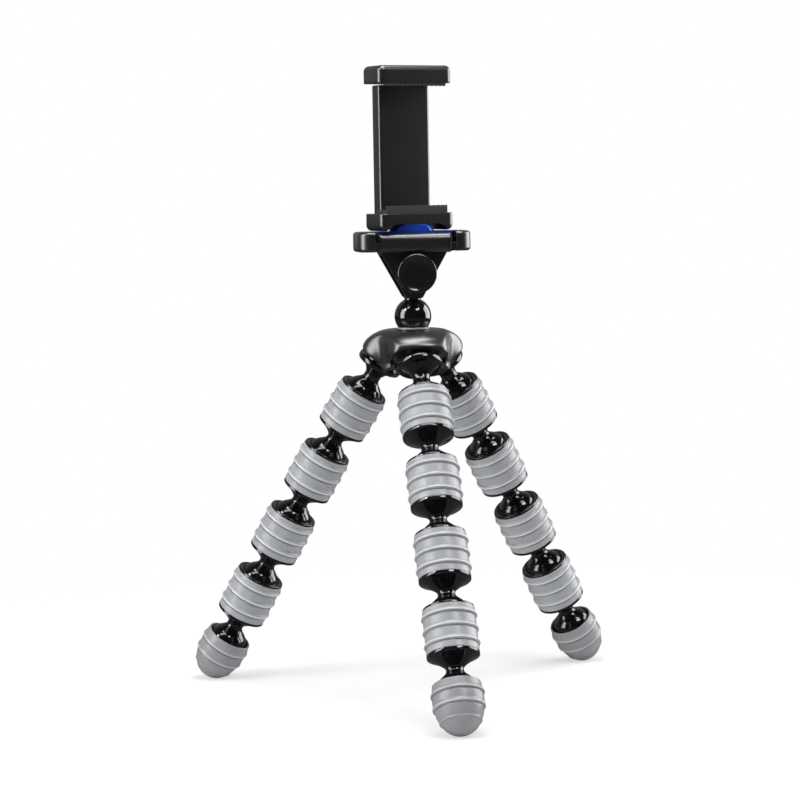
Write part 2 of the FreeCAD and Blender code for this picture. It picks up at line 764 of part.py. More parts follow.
def head_ball():
    """Hollow ball with a hole that clears the bolt as it tilts, and a flat for the stem."""
    bolt_side = math.degrees(math.asin(BOLT_R / HEAD_CAVITY_R))
    open_in = -90.0 + TILT_LIMIT + bolt_side
    open_out = -90.0 + TILT_LIMIT + math.degrees(math.asin(BOLT_R / HEAD_BALL_R)) + 1.0
    flat_angle = elevation(STEM_R, BALL_FLAT)
    top_in = elevation(STEM_SHANK_R, sphere_height(HEAD_CAVITY_R, STEM_SHANK_R))
    return turned(on_sphere(HEAD_CAVITY_R, BALL_Z, open_in), [
        on_sphere(HEAD_BALL_R, BALL_Z, open_out),
        (on_sphere(HEAD_BALL_R, BALL_Z, 0.0), on_sphere(HEAD_BALL_R, BALL_Z, flat_angle)),
        (STEM_SHANK_R, BALL_Z + BALL_FLAT),
        on_sphere(HEAD_CAVITY_R, BALL_Z, top_in),
        (on_sphere(HEAD_CAVITY_R, BALL_Z, 0.0), on_sphere(HEAD_CAVITY_R, BALL_Z, open_in)),
    ])


def head_stem():
    """Stem screwed into the ball, flattened to a tongue with the hinge bolt's eye."""
    flat_z = BALL_Z + BALL_FLAT
    foot_z = flat_z + STEM_FOOT_H
    stem = rod_z(STEM_SHANK_R, flat_z - STEM_SHANK_IN, flat_z).fuse(rod_z(STEM_R, flat_z, foot_z))
    web = box(-TONGUE_W / 2, TONGUE_W / 2, -TONGUE_T / 2, TONGUE_T / 2, foot_z, PIVOT_Z)
    eye = rod_y(EYE_R, -TONGUE_T / 2, TONGUE_T / 2, 0, PIVOT_Z)
    stem = stem.multiFuse([web, eye])
    return stem.cut(rod_y(HINGE_BOLT_R + HINGE_GAP, -YOKE_T, YOKE_T, 0, PIVOT_Z)).removeSplitter()


# Yoke and hinge

def yoke():
    """V-shaped fork: two cheeks beside the stem's tongue, joined by a bridge under the tray."""
    half_tip = YOKE_TIP_W / 2
    tip_z = PIVOT_Z - sphere_height(YOKE_TIP_R, half_tip)
    fork = plate_y((-YOKE_TOP_W / 2, TRAY_Z), [
        (-half_tip, tip_z),
        ((0.0, PIVOT_Z - YOKE_TIP_R), (half_tip, tip_z)),
        (YOKE_TOP_W / 2, TRAY_Z),
    ], -YOKE_T / 2, YOKE_T / 2)
    slot_half = TONGUE_T / 2 + YOKE_GAP
    slot_top = PIVOT_Z + EYE_R + YOKE_SLOT_CLEAR
    fork = fork.cut(box(-YOKE_TOP_W, YOKE_TOP_W, -slot_half, slot_half, BALL_Z, slot_top))
    fork = fork.cut(rod_y(HINGE_BOLT_R, -YOKE_T, YOKE_T, 0, PIVOT_Z))
    for x in (-PEG_SPREAD, PEG_SPREAD):
        fork = fork.cut(rod_z(PEG_R, TRAY_Z - PEG_H, TRAY_Z + 1.0, x, slot_half + PEG_EDGE))
    return fork


def tilt_bolt():
    """Cap-head bolt through the fork and the tongue, threaded into the knob."""
    back = YOKE_T / 2
    front = -YOKE_T / 2 - KNOB_GAP - KNOB_H + KNOB_WALL
    bolt = rod_y(HINGE_BOLT_R, front, back, 0, PIVOT_Z)
    bolt = bolt.fuse(rod_y(HINGE_HEAD_R, back, back + HINGE_HEAD_H, 0, PIVOT_Z))
    corners = [
        V(
            HINGE_HEX_R * math.cos(math.radians(60 * k)),
            back + HINGE_HEAD_H * 0.4,
            PIVOT_Z + HINGE_HEX_R * math.sin(math.radians(60 * k)),
        )
        for k in range(7)
    ]
    socket = Part.Face(Part.makePolygon(corners)).extrude(V(0, HINGE_HEAD_H, 0))
    return bolt.cut(socket).removeSplitter()


def tilt_knob():
    """Round clamping knob with a rounded front and a shallow dish, turning on the bolt."""
    bend = 1 - math.sqrt(0.5)
    bore_r = HINGE_BOLT_R + HINGE_GAP
    bore_h = KNOB_H - KNOB_WALL + HINGE_GAP
    knob = turned((bore_r, 0.0), [
        (KNOB_R - KNOB_BACK_BEVEL, 0.0),
        (KNOB_R, KNOB_BACK_BEVEL),
        (KNOB_R, KNOB_H - KNOB_ROUND),
        (
            (KNOB_R - KNOB_ROUND * bend, KNOB_H - KNOB_ROUND * bend),
            (KNOB_R - KNOB_ROUND, KNOB_H),
        ),
        (0.0, KNOB_H),
        (0.0, bore_h),
        (bore_r, bore_h),
    ])
    dish_r = (KNOB_DISH_R ** 2 + KNOB_DISH_DEPTH ** 2) / (2 * KNOB_DISH_DEPTH)
    knob = knob.cut(Part.makeSphere(dish_r, V(0, 0, KNOB_H - KNOB_DISH_DEPTH + dish_r)))
    knob.rotate(V(0, 0, 0), V(1, 0, 0), 90)
    knob.translate(V(0, -YOKE_T / 2 - KNOB_GAP, PIVOT_Z))
    return knob


# Platform

def ear_box(side, grow, y_front, y_back):
    """Space of one guide ear on the side -1 or 1, grown by a clearance."""
    inner = SLOT_HALF_W - BUTTON_GAP * 2
    outer = SLOT_HALF_W + EAR_REACH + grow
    x0, x1 = sorted((side * inner, side * outer))
    return box(x0, x1, y_front - grow, y_back + grow, EAR_Z - grow, EAR_Z + EAR_H + grow)


def ear_y():
    """Front and back faces of the ears at rest."""
    middle = -(BUTTON_FRONT + BUTTON_BACK) / 2
    return middle - EAR_T / 2, middle + EAR_T / 2


def platform_tray():
    """Tray with a rounded lobe at each end, open at the front for the release button."""
    half = TRAY_W / 2
    tray = rounded_block(
        -half, half, -TRAY_FRONT, TRAY_FRONT, TRAY_Z, TRAY_TOP_Z, TRAY_CORNER_R, TRAY_ROUND, TRAY_ROUND)
    half = SLOT_HALF_W
    tray = tray.cut(box(-half, half, -2 * TRAY_FRONT, POCKET_BACK, FLOOR_TOP_Z, TRAY_TOP_Z + 1.0))
    tray = tray.cut(box(-half, half, -2 * TRAY_FRONT, -FLOOR_FRONT, TRAY_Z - 1.0, FLOOR_TOP_Z + 1.0))
    front, back = ear_y()
    for side in (-1, 1):
        tray = tray.cut(ear_box(side, EAR_GAP, front, back + BUTTON_TRAVEL))
        bore = rod_y(SPRING_R + SPRING_BORE_GAP, back, back + SPRING_LEN, side * EAR_X, EAR_Z + EAR_H / 2)
        tray = tray.cut(bore)
    slot_half = TONGUE_T / 2 + YOKE_GAP
    for x in (-PEG_SPREAD, PEG_SPREAD):
        tray = tray.fuse(rod_z(PEG_R, TRAY_Z - PEG_H, TRAY_Z + 0.5, x, slot_half + PEG_EDGE))
    return tray.removeSplitter()


def release_button():
    """Bar across the front with a bevelled top edge and a guide ear at each end."""
    low = TRAY_Z - BUTTON_DROP
    top = TRAY_TOP_Z - BUTTON_TOP_GAP
    half = BUTTON_HALF_W
    bar = box(-half, half, -BUTTON_FRONT, -BUTTON_BACK, low, top)
    corners = [e for e in bar.Edges if is_upright(e) and e.BoundBox.YMax < -BUTTON_BACK - 0.1]
    bar = bar.makeFillet(BUTTON_CORNER_R, corners)
    section = Part.makePolygon([
        V(-half, -BUTTON_BACK, low),
        V(-half, -BUTTON_FRONT, low),
        V(-half, -BUTTON_FRONT, top - BUTTON_BEVEL),
        V(-half, -BUTTON_FRONT + BUTTON_BEVEL, top),
        V(-half, -BUTTON_BACK, top),
        V(-half, -BUTTON_BACK, low),
    ])
    bar = bar.common(Part.Face(section).extrude(V(2 * half, 0, 0)))
    front, back = ear_y()
    ears = [ear_box(side, 0.0, front, back) for side in (-1, 1)]
    return bar.multiFuse(ears).removeSplitter()


def release_spring():
    """Two short springs in the tray, one behind each ear, drawn as long as they are when the button is pressed."""
    front, back = ear_y()
    pressed = back + BUTTON_TRAVEL + SPRING_EASE
    end = back + SPRING_LEN
    springs = []
    for side in (-1, 1):
        centre = (side * EAR_X, EAR_Z + EAR_H / 2)
        tube = rod_y(SPRING_R, pressed, end, *centre)
        springs.append(tube.cut(rod_y(SPRING_R - SPRING_WIRE, pressed, end, *centre)))
    return Part.makeCompound(springs)


def plate_box(z0, z1):
    """Outline of the camera plate between two heights, with rounded upright corners."""
    half = SLOT_HALF_W - PLATE_SIDE_GAP
    block = box(-half, half, -FLOOR_FRONT + PLATE_GAP, POCKET_BACK - PLATE_GAP, z0, z1)
    return block.makeFillet(PLATE_CORNER_R, [e for e in block.Edges if is_upright(e)])


def camera_plate():
    """Quick-release plate with a counterbored hole for the camera screw."""
    plate = plate_box(PLATE_Z, PLATE_TOP_Z)
    room_z = PLATE_Z + CAMERA_HEAD_H + 2 * CAMERA_HEAD_ROOM
    plate = plate.cut(rod_z(CAMERA_HEAD_R + CAMERA_HEAD_ROOM, PLATE_Z - 1.0, room_z))
    return plate.cut(rod_z(CAMERA_SCREW_R + CAMERA_SCREW_GAP, PLATE_Z, PLATE_TOP_Z + 1.0))


def plate_pad():
    """Rubber pad on the plate, with a low dome round the screw."""
    pad = plate_box(PLATE_TOP_Z, PAD_TOP_Z)
    mid = (PAD_CROWN_R + (PAD_DOME_R - PAD_CROWN_R) * 0.62, PAD_TOP_Z + PAD_DOME_H * 0.62)
    low = PLATE_TOP_Z + PAD_T / 2
    front, back = FLOOR_FRONT - PLATE_GAP, POCKET_BACK - PLATE_GAP
    dome = turned((0.0, low), [
        (PAD_DOME_R, low),
        (PAD_DOME_R, PAD_TOP_Z),
        (mid, (PAD_CROWN_R, CROWN_Z)),
        (0.0, CROWN_Z),
    ])
    reach = 2 * PAD_DOME_R
    dome = dome.common(box(-reach, reach, -front, back, low, CROWN_Z + 1.0))
    pad = pad.fuse(dome)
    return pad.cut(rod_z(CAMERA_SCREW_R + CAMERA_SCREW_GAP, PLATE_Z, CROWN_Z + 1.0)).removeSplitter()


def camera_screw():
    """Camera screw with a slotted round head under the plate."""
    head_z = PLATE_Z + CAMERA_HEAD_ROOM
    tip_z = CLAMP_SEAT_Z + CAMERA_SCREW_REACH
    screw = rod_z(CAMERA_HEAD_R, head_z, head_z + CAMERA_HEAD_H)
    screw = screw.fuse(rod_z(CAMERA_SCREW_R, head_z + CAMERA_HEAD_H, tip_z))
    slot = CAMERA_SLOT_W / 2
    groove = box(-CAMERA_HEAD_R, CAMERA_HEAD_R, -slot, slot, head_z - 1.0, head_z + CAMERA_HEAD_H / 2)
    return screw.cut(groove).removeSplitter()


# Clamp

def arch_channel():
    """Arched way through the clamp's foot that clears the pad's dome at every turn."""
    half = ARCH_HALF_W
    flat = PAD_DOME_R
    reach = 2 * JAW_BACK
    mid_x = (half + flat) / 2
    mid_z = CLAMP_Z + (CLAMP_SEAT_Z - CLAMP_Z) * ARCH_SHAPE
    return plate_y((-half, CLAMP_Z - 1.0), [
        (half, CLAMP_Z - 1.0),
        (half, CLAMP_Z),
        ((mid_x, mid_z), (flat, CLAMP_SEAT_Z)),
        (-flat, CLAMP_SEAT_Z),
        ((-mid_x, mid_z), (-half, CLAMP_Z)),
    ], -reach, reach)


def jaw_block(z0, z1, low_edge, high_edge):
    """Outline that both jaws share."""
    half = JAW_HALF_W
    return rounded_block(-half, half, -JAW_FRONT, JAW_BACK, z0, z1, JAW_CORNER_R, low_edge, high_edge)


def clamp_frame():
    """Lower jaw and upright spine in one moulding, with chambers for the rods and springs."""
    jaw = jaw_block(CLAMP_Z, LOWER_JAW_TOP_Z, JAW_ROUND, JAW_EDGE_ROUND)
    half = SPINE_HALF_W
    spine = rounded_block(
        -half, half, SPINE_FRONT, SPINE_BACK, CLAMP_Z + JAW_ROUND, SPINE_TOP_Z,
        SPINE_ROUND, JAW_EDGE_ROUND, JAW_EDGE_ROUND)
    frame = jaw.fuse(spine).cut(arch_channel())
    insert_top = CLAMP_SEAT_Z + INSERT_H
    frame = frame.cut(rod_z(INSERT_R, CLAMP_Z - 1.0, insert_top))
    for x in (-ROD_SPREAD, ROD_SPREAD):
        frame = frame.cut(rod_z(ROD_R + ROD_GAP, ROD_BOTTOM_Z, SPINE_TOP_Z + 1.0, x, ROD_Y))
        frame = frame.cut(rod_z(CHAMBER_R, CHAMBER_BOTTOM_Z, CHAMBER_TOP_Z, x, ROD_Y))
        x0, x1 = x - CHAMBER_R, x + CHAMBER_R
        frame = frame.cut(box(x0, x1, ROD_Y, SPINE_BACK, CHAMBER_BOTTOM_Z, CHAMBER_TOP_Z))
    frame = frame.cut(cover_box(0.0))
    for z in cover_screw_heights():
        frame = frame.cut(rod_y(COVER_SCREW_R, COVER_FACE_Y - COVER_SCREW_LEN, SPINE_BACK, 0, z))
    return frame.removeSplitter()


def cover_box(gap):
    """Recess for the back cover, or the cover itself when drawn in by a gap."""
    half = SPINE_HALF_W - COVER_SIDE - gap
    low = CHAMBER_BOTTOM_Z - COVER_OVERLAP + gap
    high = CHAMBER_TOP_Z + COVER_OVERLAP - gap
    return box(-half, half, COVER_FACE_Y, SPINE_BACK + (1.0 if gap == 0.0 else 0.0), low, high)


def cover_screw_heights():
    step = (CHAMBER_TOP_Z - CHAMBER_BOTTOM_Z) / COVER_SCREW_COUNT
    return [CHAMBER_BOTTOM_Z + step * (k + 0.5) for k in range(COVER_SCREW_COUNT)]


def clamp_back_cover():
    """Flat cover over the spring chambers, with countersunk screw holes."""
    cover = cover_box(COVER_FIT)
    for z in cover_screw_heights():
        cover = cover.cut(rod_y(COVER_SCREW_R, COVER_FACE_Y - 1.0, SPINE_BACK + 1.0, 0, z))
        head = rod_y(COVER_SCREW_HEAD_R, SPINE_BACK - COVER_SCREW_HEAD_H, SPINE_BACK + 1.0, 0, z)
        cover = cover.cut(head)
    return cover


def clamp_screws():
    """Screws that hold the back cover."""
    screws = []
    half, floor_y = COVER_CROSS_W / 2, SPINE_BACK - COVER_CROSS_DEPTH
    for z in cover_screw_heights():
        shank = rod_y(COVER_SCREW_R, COVER_FACE_Y - COVER_SCREW_LEN, SPINE_BACK - COVER_SCREW_HEAD_H, 0, z)
        head = rod_y(COVER_SCREW_HEAD_R, SPINE_BACK - COVER_SCREW_HEAD_H, SPINE_BACK, 0, z)
        reach = COVER_SCREW_HEAD_R * 0.6
        cross = box(-reach, reach, floor_y, SPINE_BACK, z - half, z + half)
        cross = cross.fuse(box(-half, half, floor_y, SPINE_BACK, z - reach, z + reach))
        screws.append(shank.fuse(head).cut(cross))
    return Part.makeCompound(screws)


def clamp_insert():
    """Brass threaded insert in the clamp's foot, resting on the pad's crown."""
    bore = CAMERA_SCREW_R + CAMERA_SCREW_GAP
    return ring_z(INSERT_R, bore, CLAMP_SEAT_Z, CLAMP_SEAT_Z + INSERT_H)


def teeth(z, depth, sign):
    """Row of V notches across a pad's lip, opening up with sign 1 or down with -1."""
    pitch = 2 * PAD_HALF_W / TOOTH_COUNT
    half = pitch * 0.32
    notches = []
    for k in range(TOOTH_COUNT):
        x = -PAD_HALF_W + pitch * (k + 0.5)
        notches.append(plate_y((x - half, z), [
            (x, z - sign * depth),
            (x + half, z),
            (x + half, z + sign),
            (x - half, z + sign),
        ], -PAD_FRONT - 1.0, -PAD_FRONT + LIP_T + 1.0))
    return notches


def lower_pad():
    """Rubber pad on the lower jaw with a toothed lip along its front."""
    low = LOWER_JAW_TOP_Z
    pad = box(-PAD_HALF_W, PAD_HALF_W, -PAD_FRONT, PAD_BACK, low, GAP_LOW_Z)
    lip = box(-PAD_HALF_W, PAD_HALF_W, -PAD_FRONT, -PAD_FRONT + LIP_T, low, GAP_LOW_Z + LOWER_LIP_H)
    return cut_all(pad.fuse(lip), teeth(GAP_LOW_Z + LOWER_LIP_H, TOOTH_DEPTH, 1)).removeSplitter()


def upper_pad():
    """Rubber pad let into the upper jaw, with a low toothed lip."""
    top = GAP_HIGH_Z + UPPER_PAD_T
    pad = box(-PAD_HALF_W, PAD_HALF_W, -PAD_FRONT, PAD_BACK, GAP_HIGH_Z, top)
    lip_z = GAP_HIGH_Z - UPPER_LIP_H
    lip = box(-PAD_HALF_W, PAD_HALF_W, -PAD_FRONT, -PAD_FRONT + LIP_T, lip_z, top)
    return cut_all(pad.fuse(lip), teeth(lip_z, TOOTH_DEPTH, -1)).removeSplitter()


def upper_jaw():
    """Sliding jaw with a recess for its pad and sockets for the guide rods."""
    top = UPPER_JAW_Z + UPPER_JAW_H
    jaw = jaw_block(UPPER_JAW_Z, top, JAW_EDGE_ROUND, JAW_ROUND)
    recess_top = GAP_HIGH_Z + UPPER_PAD_T
    jaw = jaw.cut(box(-PAD_HALF_W, PAD_HALF_W, -PAD_FRONT, PAD_BACK, UPPER_JAW_Z - 1.0, recess_top))
    for x in (-ROD_SPREAD, ROD_SPREAD):
        jaw = jaw.cut(rod_z(ROD_R, UPPER_JAW_Z - 1.0, ROD_TOP_Z, x, ROD_Y))
    return jaw


def guide_rods():
    """Two rods fixed in the upper jaw, each with a foot that carries its spring."""
    rods = []
    for x in (-ROD_SPREAD, ROD_SPREAD):
        rod = rod_z(ROD_R, ROD_BOTTOM_Z, ROD_TOP_Z, x, ROD_Y)
        rods.append(rod.fuse(rod_z(ROD_FLANGE_R, ROD_BOTTOM_Z, ROD_BOTTOM_Z + ROD_FLANGE_H, x, ROD_Y)))
    return Part.makeCompound([rod.removeSplitter() for rod in rods])


def clamp_springs():
    """Two springs round the rods, between the rods' feet and the chambers' roofs."""
    inner = ROD_R + CLAMP_SPRING_GAP
    outer = inner + CLAMP_SPRING_WALL
    low = ROD_BOTTOM_Z + ROD_FLANGE_H
    tubes = [ring_z(outer, inner, low, CHAMBER_TOP_Z, x, ROD_Y) for x in (-ROD_SPREAD, ROD_SPREAD)]
    return Part.makeCompound(tubes)


# The whole stand

def joint_centres():
    """Radius and height of the ball joints down one leg, from the root ball to the foot."""
    centres = [(ROOT_RADIUS, ROOT_Z)]
    for lean in LINK_LEANS:
        r, z = centres[-1]
        a = math.radians(lean)
        centres.append((r + BALL_PITCH * math.sin(a), z - BALL_PITCH * math.cos(a)))
    return centres


def leg_pieces():
    """All pieces of the three legs, by name."""
    shell, sleeve, core, boot, root = link_shell(), link_sleeve(), foot_core(), foot_boot(), root_ball()
    centres = joint_centres()
    pieces = {}
    for n, angle in enumerate(LEG_ANGLES, start=1):
        pieces[f"leg_{n}_root_ball"] = on_leg(root, angle, *centres[0], HUB_LEAN)
        for k, lean in enumerate(LINK_LEANS, start=1):
            pieces[f"leg_{n}_link_{k}_shell"] = on_leg(shell, angle, *centres[k - 1], lean)
            pieces[f"leg_{n}_link_{k}_sleeve"] = on_leg(sleeve, angle, *centres[k - 1], lean)
        pieces[f"leg_{n}_foot_core"] = on_leg(core, angle, *centres[-1], FOOT_LEAN)
        pieces[f"leg_{n}_foot_boot"] = on_leg(boot, angle, *centres[-1], FOOT_LEAN)
    return pieces


def head_pieces():
    """All pieces of the hub, the head and the clamp, by name."""
    straight = [
        hub_cover, hub_base, hub_screws, ball_seat,
        swivel_bolt, swivel_washer, spring_washers,
        head_ball, head_stem,
        yoke, tilt_bolt, tilt_knob, platform_tray, release_button, release_spring,
        camera_plate, plate_pad, camera_screw,
    ]
    clamp = [
        clamp_frame, clamp_back_cover, clamp_screws, clamp_insert, clamp_springs, lower_pad,
        upper_jaw, upper_pad, guide_rods,
    ]
    pieces = {make.__name__: make() for make in straight}
    for make in clamp:
        pieces[make.__name__] = around_axis(make(), CLAMP_ANGLE)
    return pieces


def outer_box(shapes):
    total = FreeCAD.BoundBox()
    for shape in shapes:
        total.add(shape.optimalBoundingBox(False))
    return total


def main():
    pieces = leg_pieces()
    pieces.update(head_pieces())
    total = outer_box(pieces.values())
    shift = V(-total.Center.x, -total.Center.y, 0)
    os.makedirs("parts", exist_ok=True)
    for name, shape in pieces.items():
        shape.translate(shift)
        shape.exportStep(f"parts/{name}.step")
    size = (total.XLength, total.YLength, total.ZLength)
    print("size %.2f x %.2f x %.2f, lowest %.4f" % (size + (total.ZMin,)))
    print("stand axis at x %.4f, y %.4f" % (shift.x, shift.y))
    for r, z in joint_centres():
        print("leg joint at radius %.4f, height %.4f" % (r, z))
    print("head ball %.4f, hinge bolt %.4f, tray %.4f" % (BALL_Z, PIVOT_Z, TRAY_Z))
    print("jaw gap from %.4f to %.4f" % (GAP_LOW_Z, GAP_HIGH_Z))


if __name__ == "__main__":
    main()
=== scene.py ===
import json
import math

import bmesh
import bpy
import numpy as np
from bpy.props import FloatProperty, FloatVectorProperty, IntProperty, PointerProperty
from bpy.types import Operator, Panel, PropertyGroup
from mathutils import Matrix, Vector


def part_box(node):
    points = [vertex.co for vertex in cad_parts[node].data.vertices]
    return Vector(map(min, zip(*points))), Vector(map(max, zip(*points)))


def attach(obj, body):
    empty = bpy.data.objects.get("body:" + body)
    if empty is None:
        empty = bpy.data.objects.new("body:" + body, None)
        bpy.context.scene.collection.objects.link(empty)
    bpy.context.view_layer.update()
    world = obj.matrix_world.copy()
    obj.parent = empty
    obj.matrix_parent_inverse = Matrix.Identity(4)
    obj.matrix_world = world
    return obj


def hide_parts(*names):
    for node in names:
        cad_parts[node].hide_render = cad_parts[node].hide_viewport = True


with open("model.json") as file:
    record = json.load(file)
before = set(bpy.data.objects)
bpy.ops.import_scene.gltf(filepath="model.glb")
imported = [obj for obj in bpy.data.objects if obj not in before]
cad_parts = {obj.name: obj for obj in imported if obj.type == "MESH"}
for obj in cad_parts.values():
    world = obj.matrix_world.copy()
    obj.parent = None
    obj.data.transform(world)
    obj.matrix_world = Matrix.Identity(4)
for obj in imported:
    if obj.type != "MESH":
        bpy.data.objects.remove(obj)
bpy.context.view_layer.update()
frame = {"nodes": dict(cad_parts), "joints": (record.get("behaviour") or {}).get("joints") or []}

bl_info = {
    "name": "Flexible Tripod Looks",
    "version": (1, 0, 0),
    "blender": (4, 5, 0),
    "location": "3D View > Sidebar > Tripod",
    "description": "Builds the visible pieces, finishes, light and camera of a jointed table-top tripod",
    "category": "Add Mesh",
}

LEGS = (1, 2, 3)
LINKS = (1, 2, 3, 4)
ROUND_STEPS = 112
CORNER_STEPS = 5
GRID_SHARP = math.radians(38.0)
COPY_SHARP = math.radians(32.0)
MM = 0.001
COAT_IOR = 1.9

# Ratios, degrees and small sizes in millimetres that no setting drives
RING_UNDERSIDE = 0.42
GROOVE_DROP = 0.2
GROOVE_HALF_WIDTH = 0.3
BALL_FOOT_OUT = 2.0
BALL_ARC_SHORT = 10.5
CORE_ROUND_R = 5.0
CORE_SIDE = 5.0
CORE_DEPTH = 14.0
LIP_DROP = 1.2


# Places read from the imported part

def joint_place(name):
    """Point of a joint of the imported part, in metres."""
    return np.array(next(j["pos_m"] for j in frame["joints"] if j["name"] == name), float)


def node_box(node):
    low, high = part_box(node)
    return np.array(low), np.array(high)


def leg_centres(leg):
    """The five ball centres of a leg, from the hub down."""
    return np.array([joint_place(f"leg_{leg}_ball_{k}") for k in range(1, 6)])


def axes_along(up, outward):
    """Three columns: a side that points outward, the direction across both, and the given axis."""
    z = up / np.linalg.norm(up)
    x = outward - z * np.dot(outward, z)
    x = x / np.linalg.norm(x)
    return np.stack([x, np.cross(z, x), z], axis=1)


def leg_outward(leg):
    """Level unit vector from the stand's axis to the leg's foot."""
    centres = leg_centres(leg)
    away = centres[-1] - centres[0]
    away[2] = 0.0
    return away / np.linalg.norm(away)


def link_places():
    """Each leg link's body, the centre of its socket and the axes along it."""
    for n in LEGS:
        centres = leg_centres(n)
        for k in LINKS:
            yield f"leg_{n}_link_{k}", centres[k - 1], axes_along(centres[k - 1] - centres[k], leg_outward(n))


def leaning_axes(leg, lean):
    """Axes of a leg piece that leans in towards the stand's axis by an angle from the vertical."""
    out = leg_outward(leg)
    up = np.array([0.0, 0.0, 1.0]) * math.cos(lean) - out * math.sin(lean)
    return axes_along(up, out)


# Outlines and surfaces

def arc(centre_z, radius, start, end, count):
    """Points on a circle about the axis point at centre_z: r = R cos a, z = c + R sin a, a in degrees."""
    a = np.radians(np.linspace(start, end, count))
    return np.stack([radius * np.cos(a), centre_z + radius * np.sin(a)], axis=1)


def bow(start, middle, end, count):
    """Parabola through three points: (1-t)^2 A + 2t(1-t) B + t^2 C, with B set from the middle point."""
    a, m, c = (np.array(p, float) for p in (start, middle, end))
    b = 2.0 * m - (a + c) / 2.0
    t = np.linspace(0.0, 1.0, count)[:, None]
    return (1 - t) ** 2 * a + 2 * t * (1 - t) * b + t ** 2 * c


def outline(steps):
    """Closed outline from corners (r, z, ease) and sampled curves.

    A corner with ease e is replaced by the parabola between the points at distance e on its two sides.
    """
    points = np.vstack([np.atleast_2d(np.array(s, float))[:, :2] for s in steps])
    ease = np.concatenate([
        np.array([s[2]]) if isinstance(s, tuple) else np.zeros(len(s)) for s in steps])
    back = np.roll(points, 1, axis=0) - points
    ahead = np.roll(points, -1, axis=0) - points
    share_back = np.minimum(ease / np.maximum(np.linalg.norm(back, axis=1), 1e-9), 0.45)
    share_ahead = np.minimum(ease / np.maximum(np.linalg.norm(ahead, axis=1), 1e-9), 0.45)
    first = points + back * share_back[:, None]
    last = points + ahead * share_ahead[:, None]
    t = np.linspace(0.0, 1.0, CORNER_STEPS)[None, :, None]
    curve = (1 - t) ** 2 * first[:, None] + 2 * t * (1 - t) * points[:, None] + t ** 2 * last[:, None]
    keep = (ease > 0)[:, None] | (np.arange(CORNER_STEPS) == 0)[None, :]
    return curve[keep]


def mesh_from_grid(name, points, wrap_rows):
    """Mesh of a grid of points (rows, columns, 3), closed along the columns.

    A row whose points coincide becomes one pole. The faces are turned so that the volume inside is positive.
    """
    rows, columns = points.shape[:2]
    flat = points.reshape(-1, 3)
    number = np.arange(rows * columns).reshape(rows, columns)
    pole = np.ptp(points, axis=1).max(axis=1) < 1e-9
    number[pole] = number[pole][:, :1]
    upper = number if wrap_rows else number[:-1]
    lower = np.roll(number, -1, axis=0) if wrap_rows else number[1:]
    quads = np.stack([upper, lower, np.roll(lower, -1, axis=1), np.roll(upper, -1, axis=1)], axis=-1)
    quads = quads.reshape(-1, 4)
    a, b, c, d = (flat[quads[:, k]] for k in range(4))
    volume = (a * np.cross(b, c)).sum() + (a * np.cross(c, d)).sum()
    if volume < 0:
        quads = quads[:, ::-1]
    used, renumbered = np.unique(quads, return_inverse=True)
    quads = renumbered.reshape(quads.shape)
    same = quads == np.roll(quads, -1, axis=1)
    whole = ~same.any(axis=1)
    cut = quads[~whole]
    cut_keep = ~same[~whole]
    triangles = cut[cut_keep].reshape(-1, 3)
    mesh = bpy.data.meshes.new(name)
    mesh.from_pydata(flat[used].tolist(), [], quads[whole].tolist() + triangles.tolist())
    mesh.shade_smooth()
    mesh.set_sharp_from_angle(angle=GRID_SHARP)
    mesh.update()
    return mesh


def turned(name, profile, origin, axes):
    """Surface of revolution: origin + r cos(a) X + r sin(a) Y + z Z, over the outline and the angle."""
    angle = np.linspace(0.0, 2.0 * math.pi, ROUND_STEPS, endpoint=False)
    r, z = profile[:, 0] * MM, profile[:, 1] * MM
    local = np.stack([
        r[:, None] * np.cos(angle)[None, :],
        r[:, None] * np.sin(angle)[None, :],
        np.broadcast_to(z[:, None], (len(z), ROUND_STEPS)),
    ], axis=-1)
    ends_on_axis = abs(r[0]) < 1e-9 and abs(r[-1]) < 1e-9
    return mesh_from_grid(name, origin + local @ axes.T, not ends_on_axis)


def cushion_block(low, high, corner, rounding, count=10):
    """Grid of a block with round corners in X and Z, whose -Y face is rounded all along its edge.

    Each row is the outline drawn in by R (1 - cos t) at the depth R sin t. The two end rows are points.
    """
    middle, half = (low + high) / 2.0, (high - low) / 2.0
    corner_steps, least_corner = 14, 0.15 * MM
    first_turn = math.pi / (2 * corner_steps)
    turn = np.linspace(0.0, 2.0 * math.pi, 4 * corner_steps, endpoint=False) + first_turn
    side_x, side_z = np.sign(np.cos(turn)), np.sign(np.sin(turn))
    t = np.linspace(0.0, math.pi / 2, count)
    inset = np.concatenate([[0.0, 0.0], rounding * (1 - np.cos(t))])
    depth = np.concatenate([[high[1], high[1]], low[1] + rounding * (1 - np.sin(t))])
    rows = []
    for drawn_in, y in zip(inset, depth):
        round_r = max(corner - drawn_in, least_corner)
        x = side_x * (half[0] - drawn_in - round_r) + round_r * np.cos(turn)
        z = side_z * (half[2] - drawn_in - round_r) + round_r * np.sin(turn)
        rows.append(np.stack([middle[0] + x, np.full_like(x, y), middle[2] + z], axis=1))
    rows[0] = np.broadcast_to([middle[0], high[1], middle[2]], rows[0].shape)
    rows.append(np.broadcast_to([middle[0], low[1], middle[2]], rows[0].shape))
    return np.array(rows)


def new_object(name, data):
    obj = bpy.data.objects.new(name, data)
    bpy.context.scene.collection.objects.link(obj)
    return obj


def joined(name, meshes):
    """One object of several closed meshes."""
    pieces = [new_object(mesh.name, mesh) for mesh in meshes]
    with bpy.context.temp_override(active_object=pieces[0], selected_editable_objects=pieces):
        bpy.ops.object.join()
    pieces[0].name = pieces[0].data.name = name
    return pieces[0]


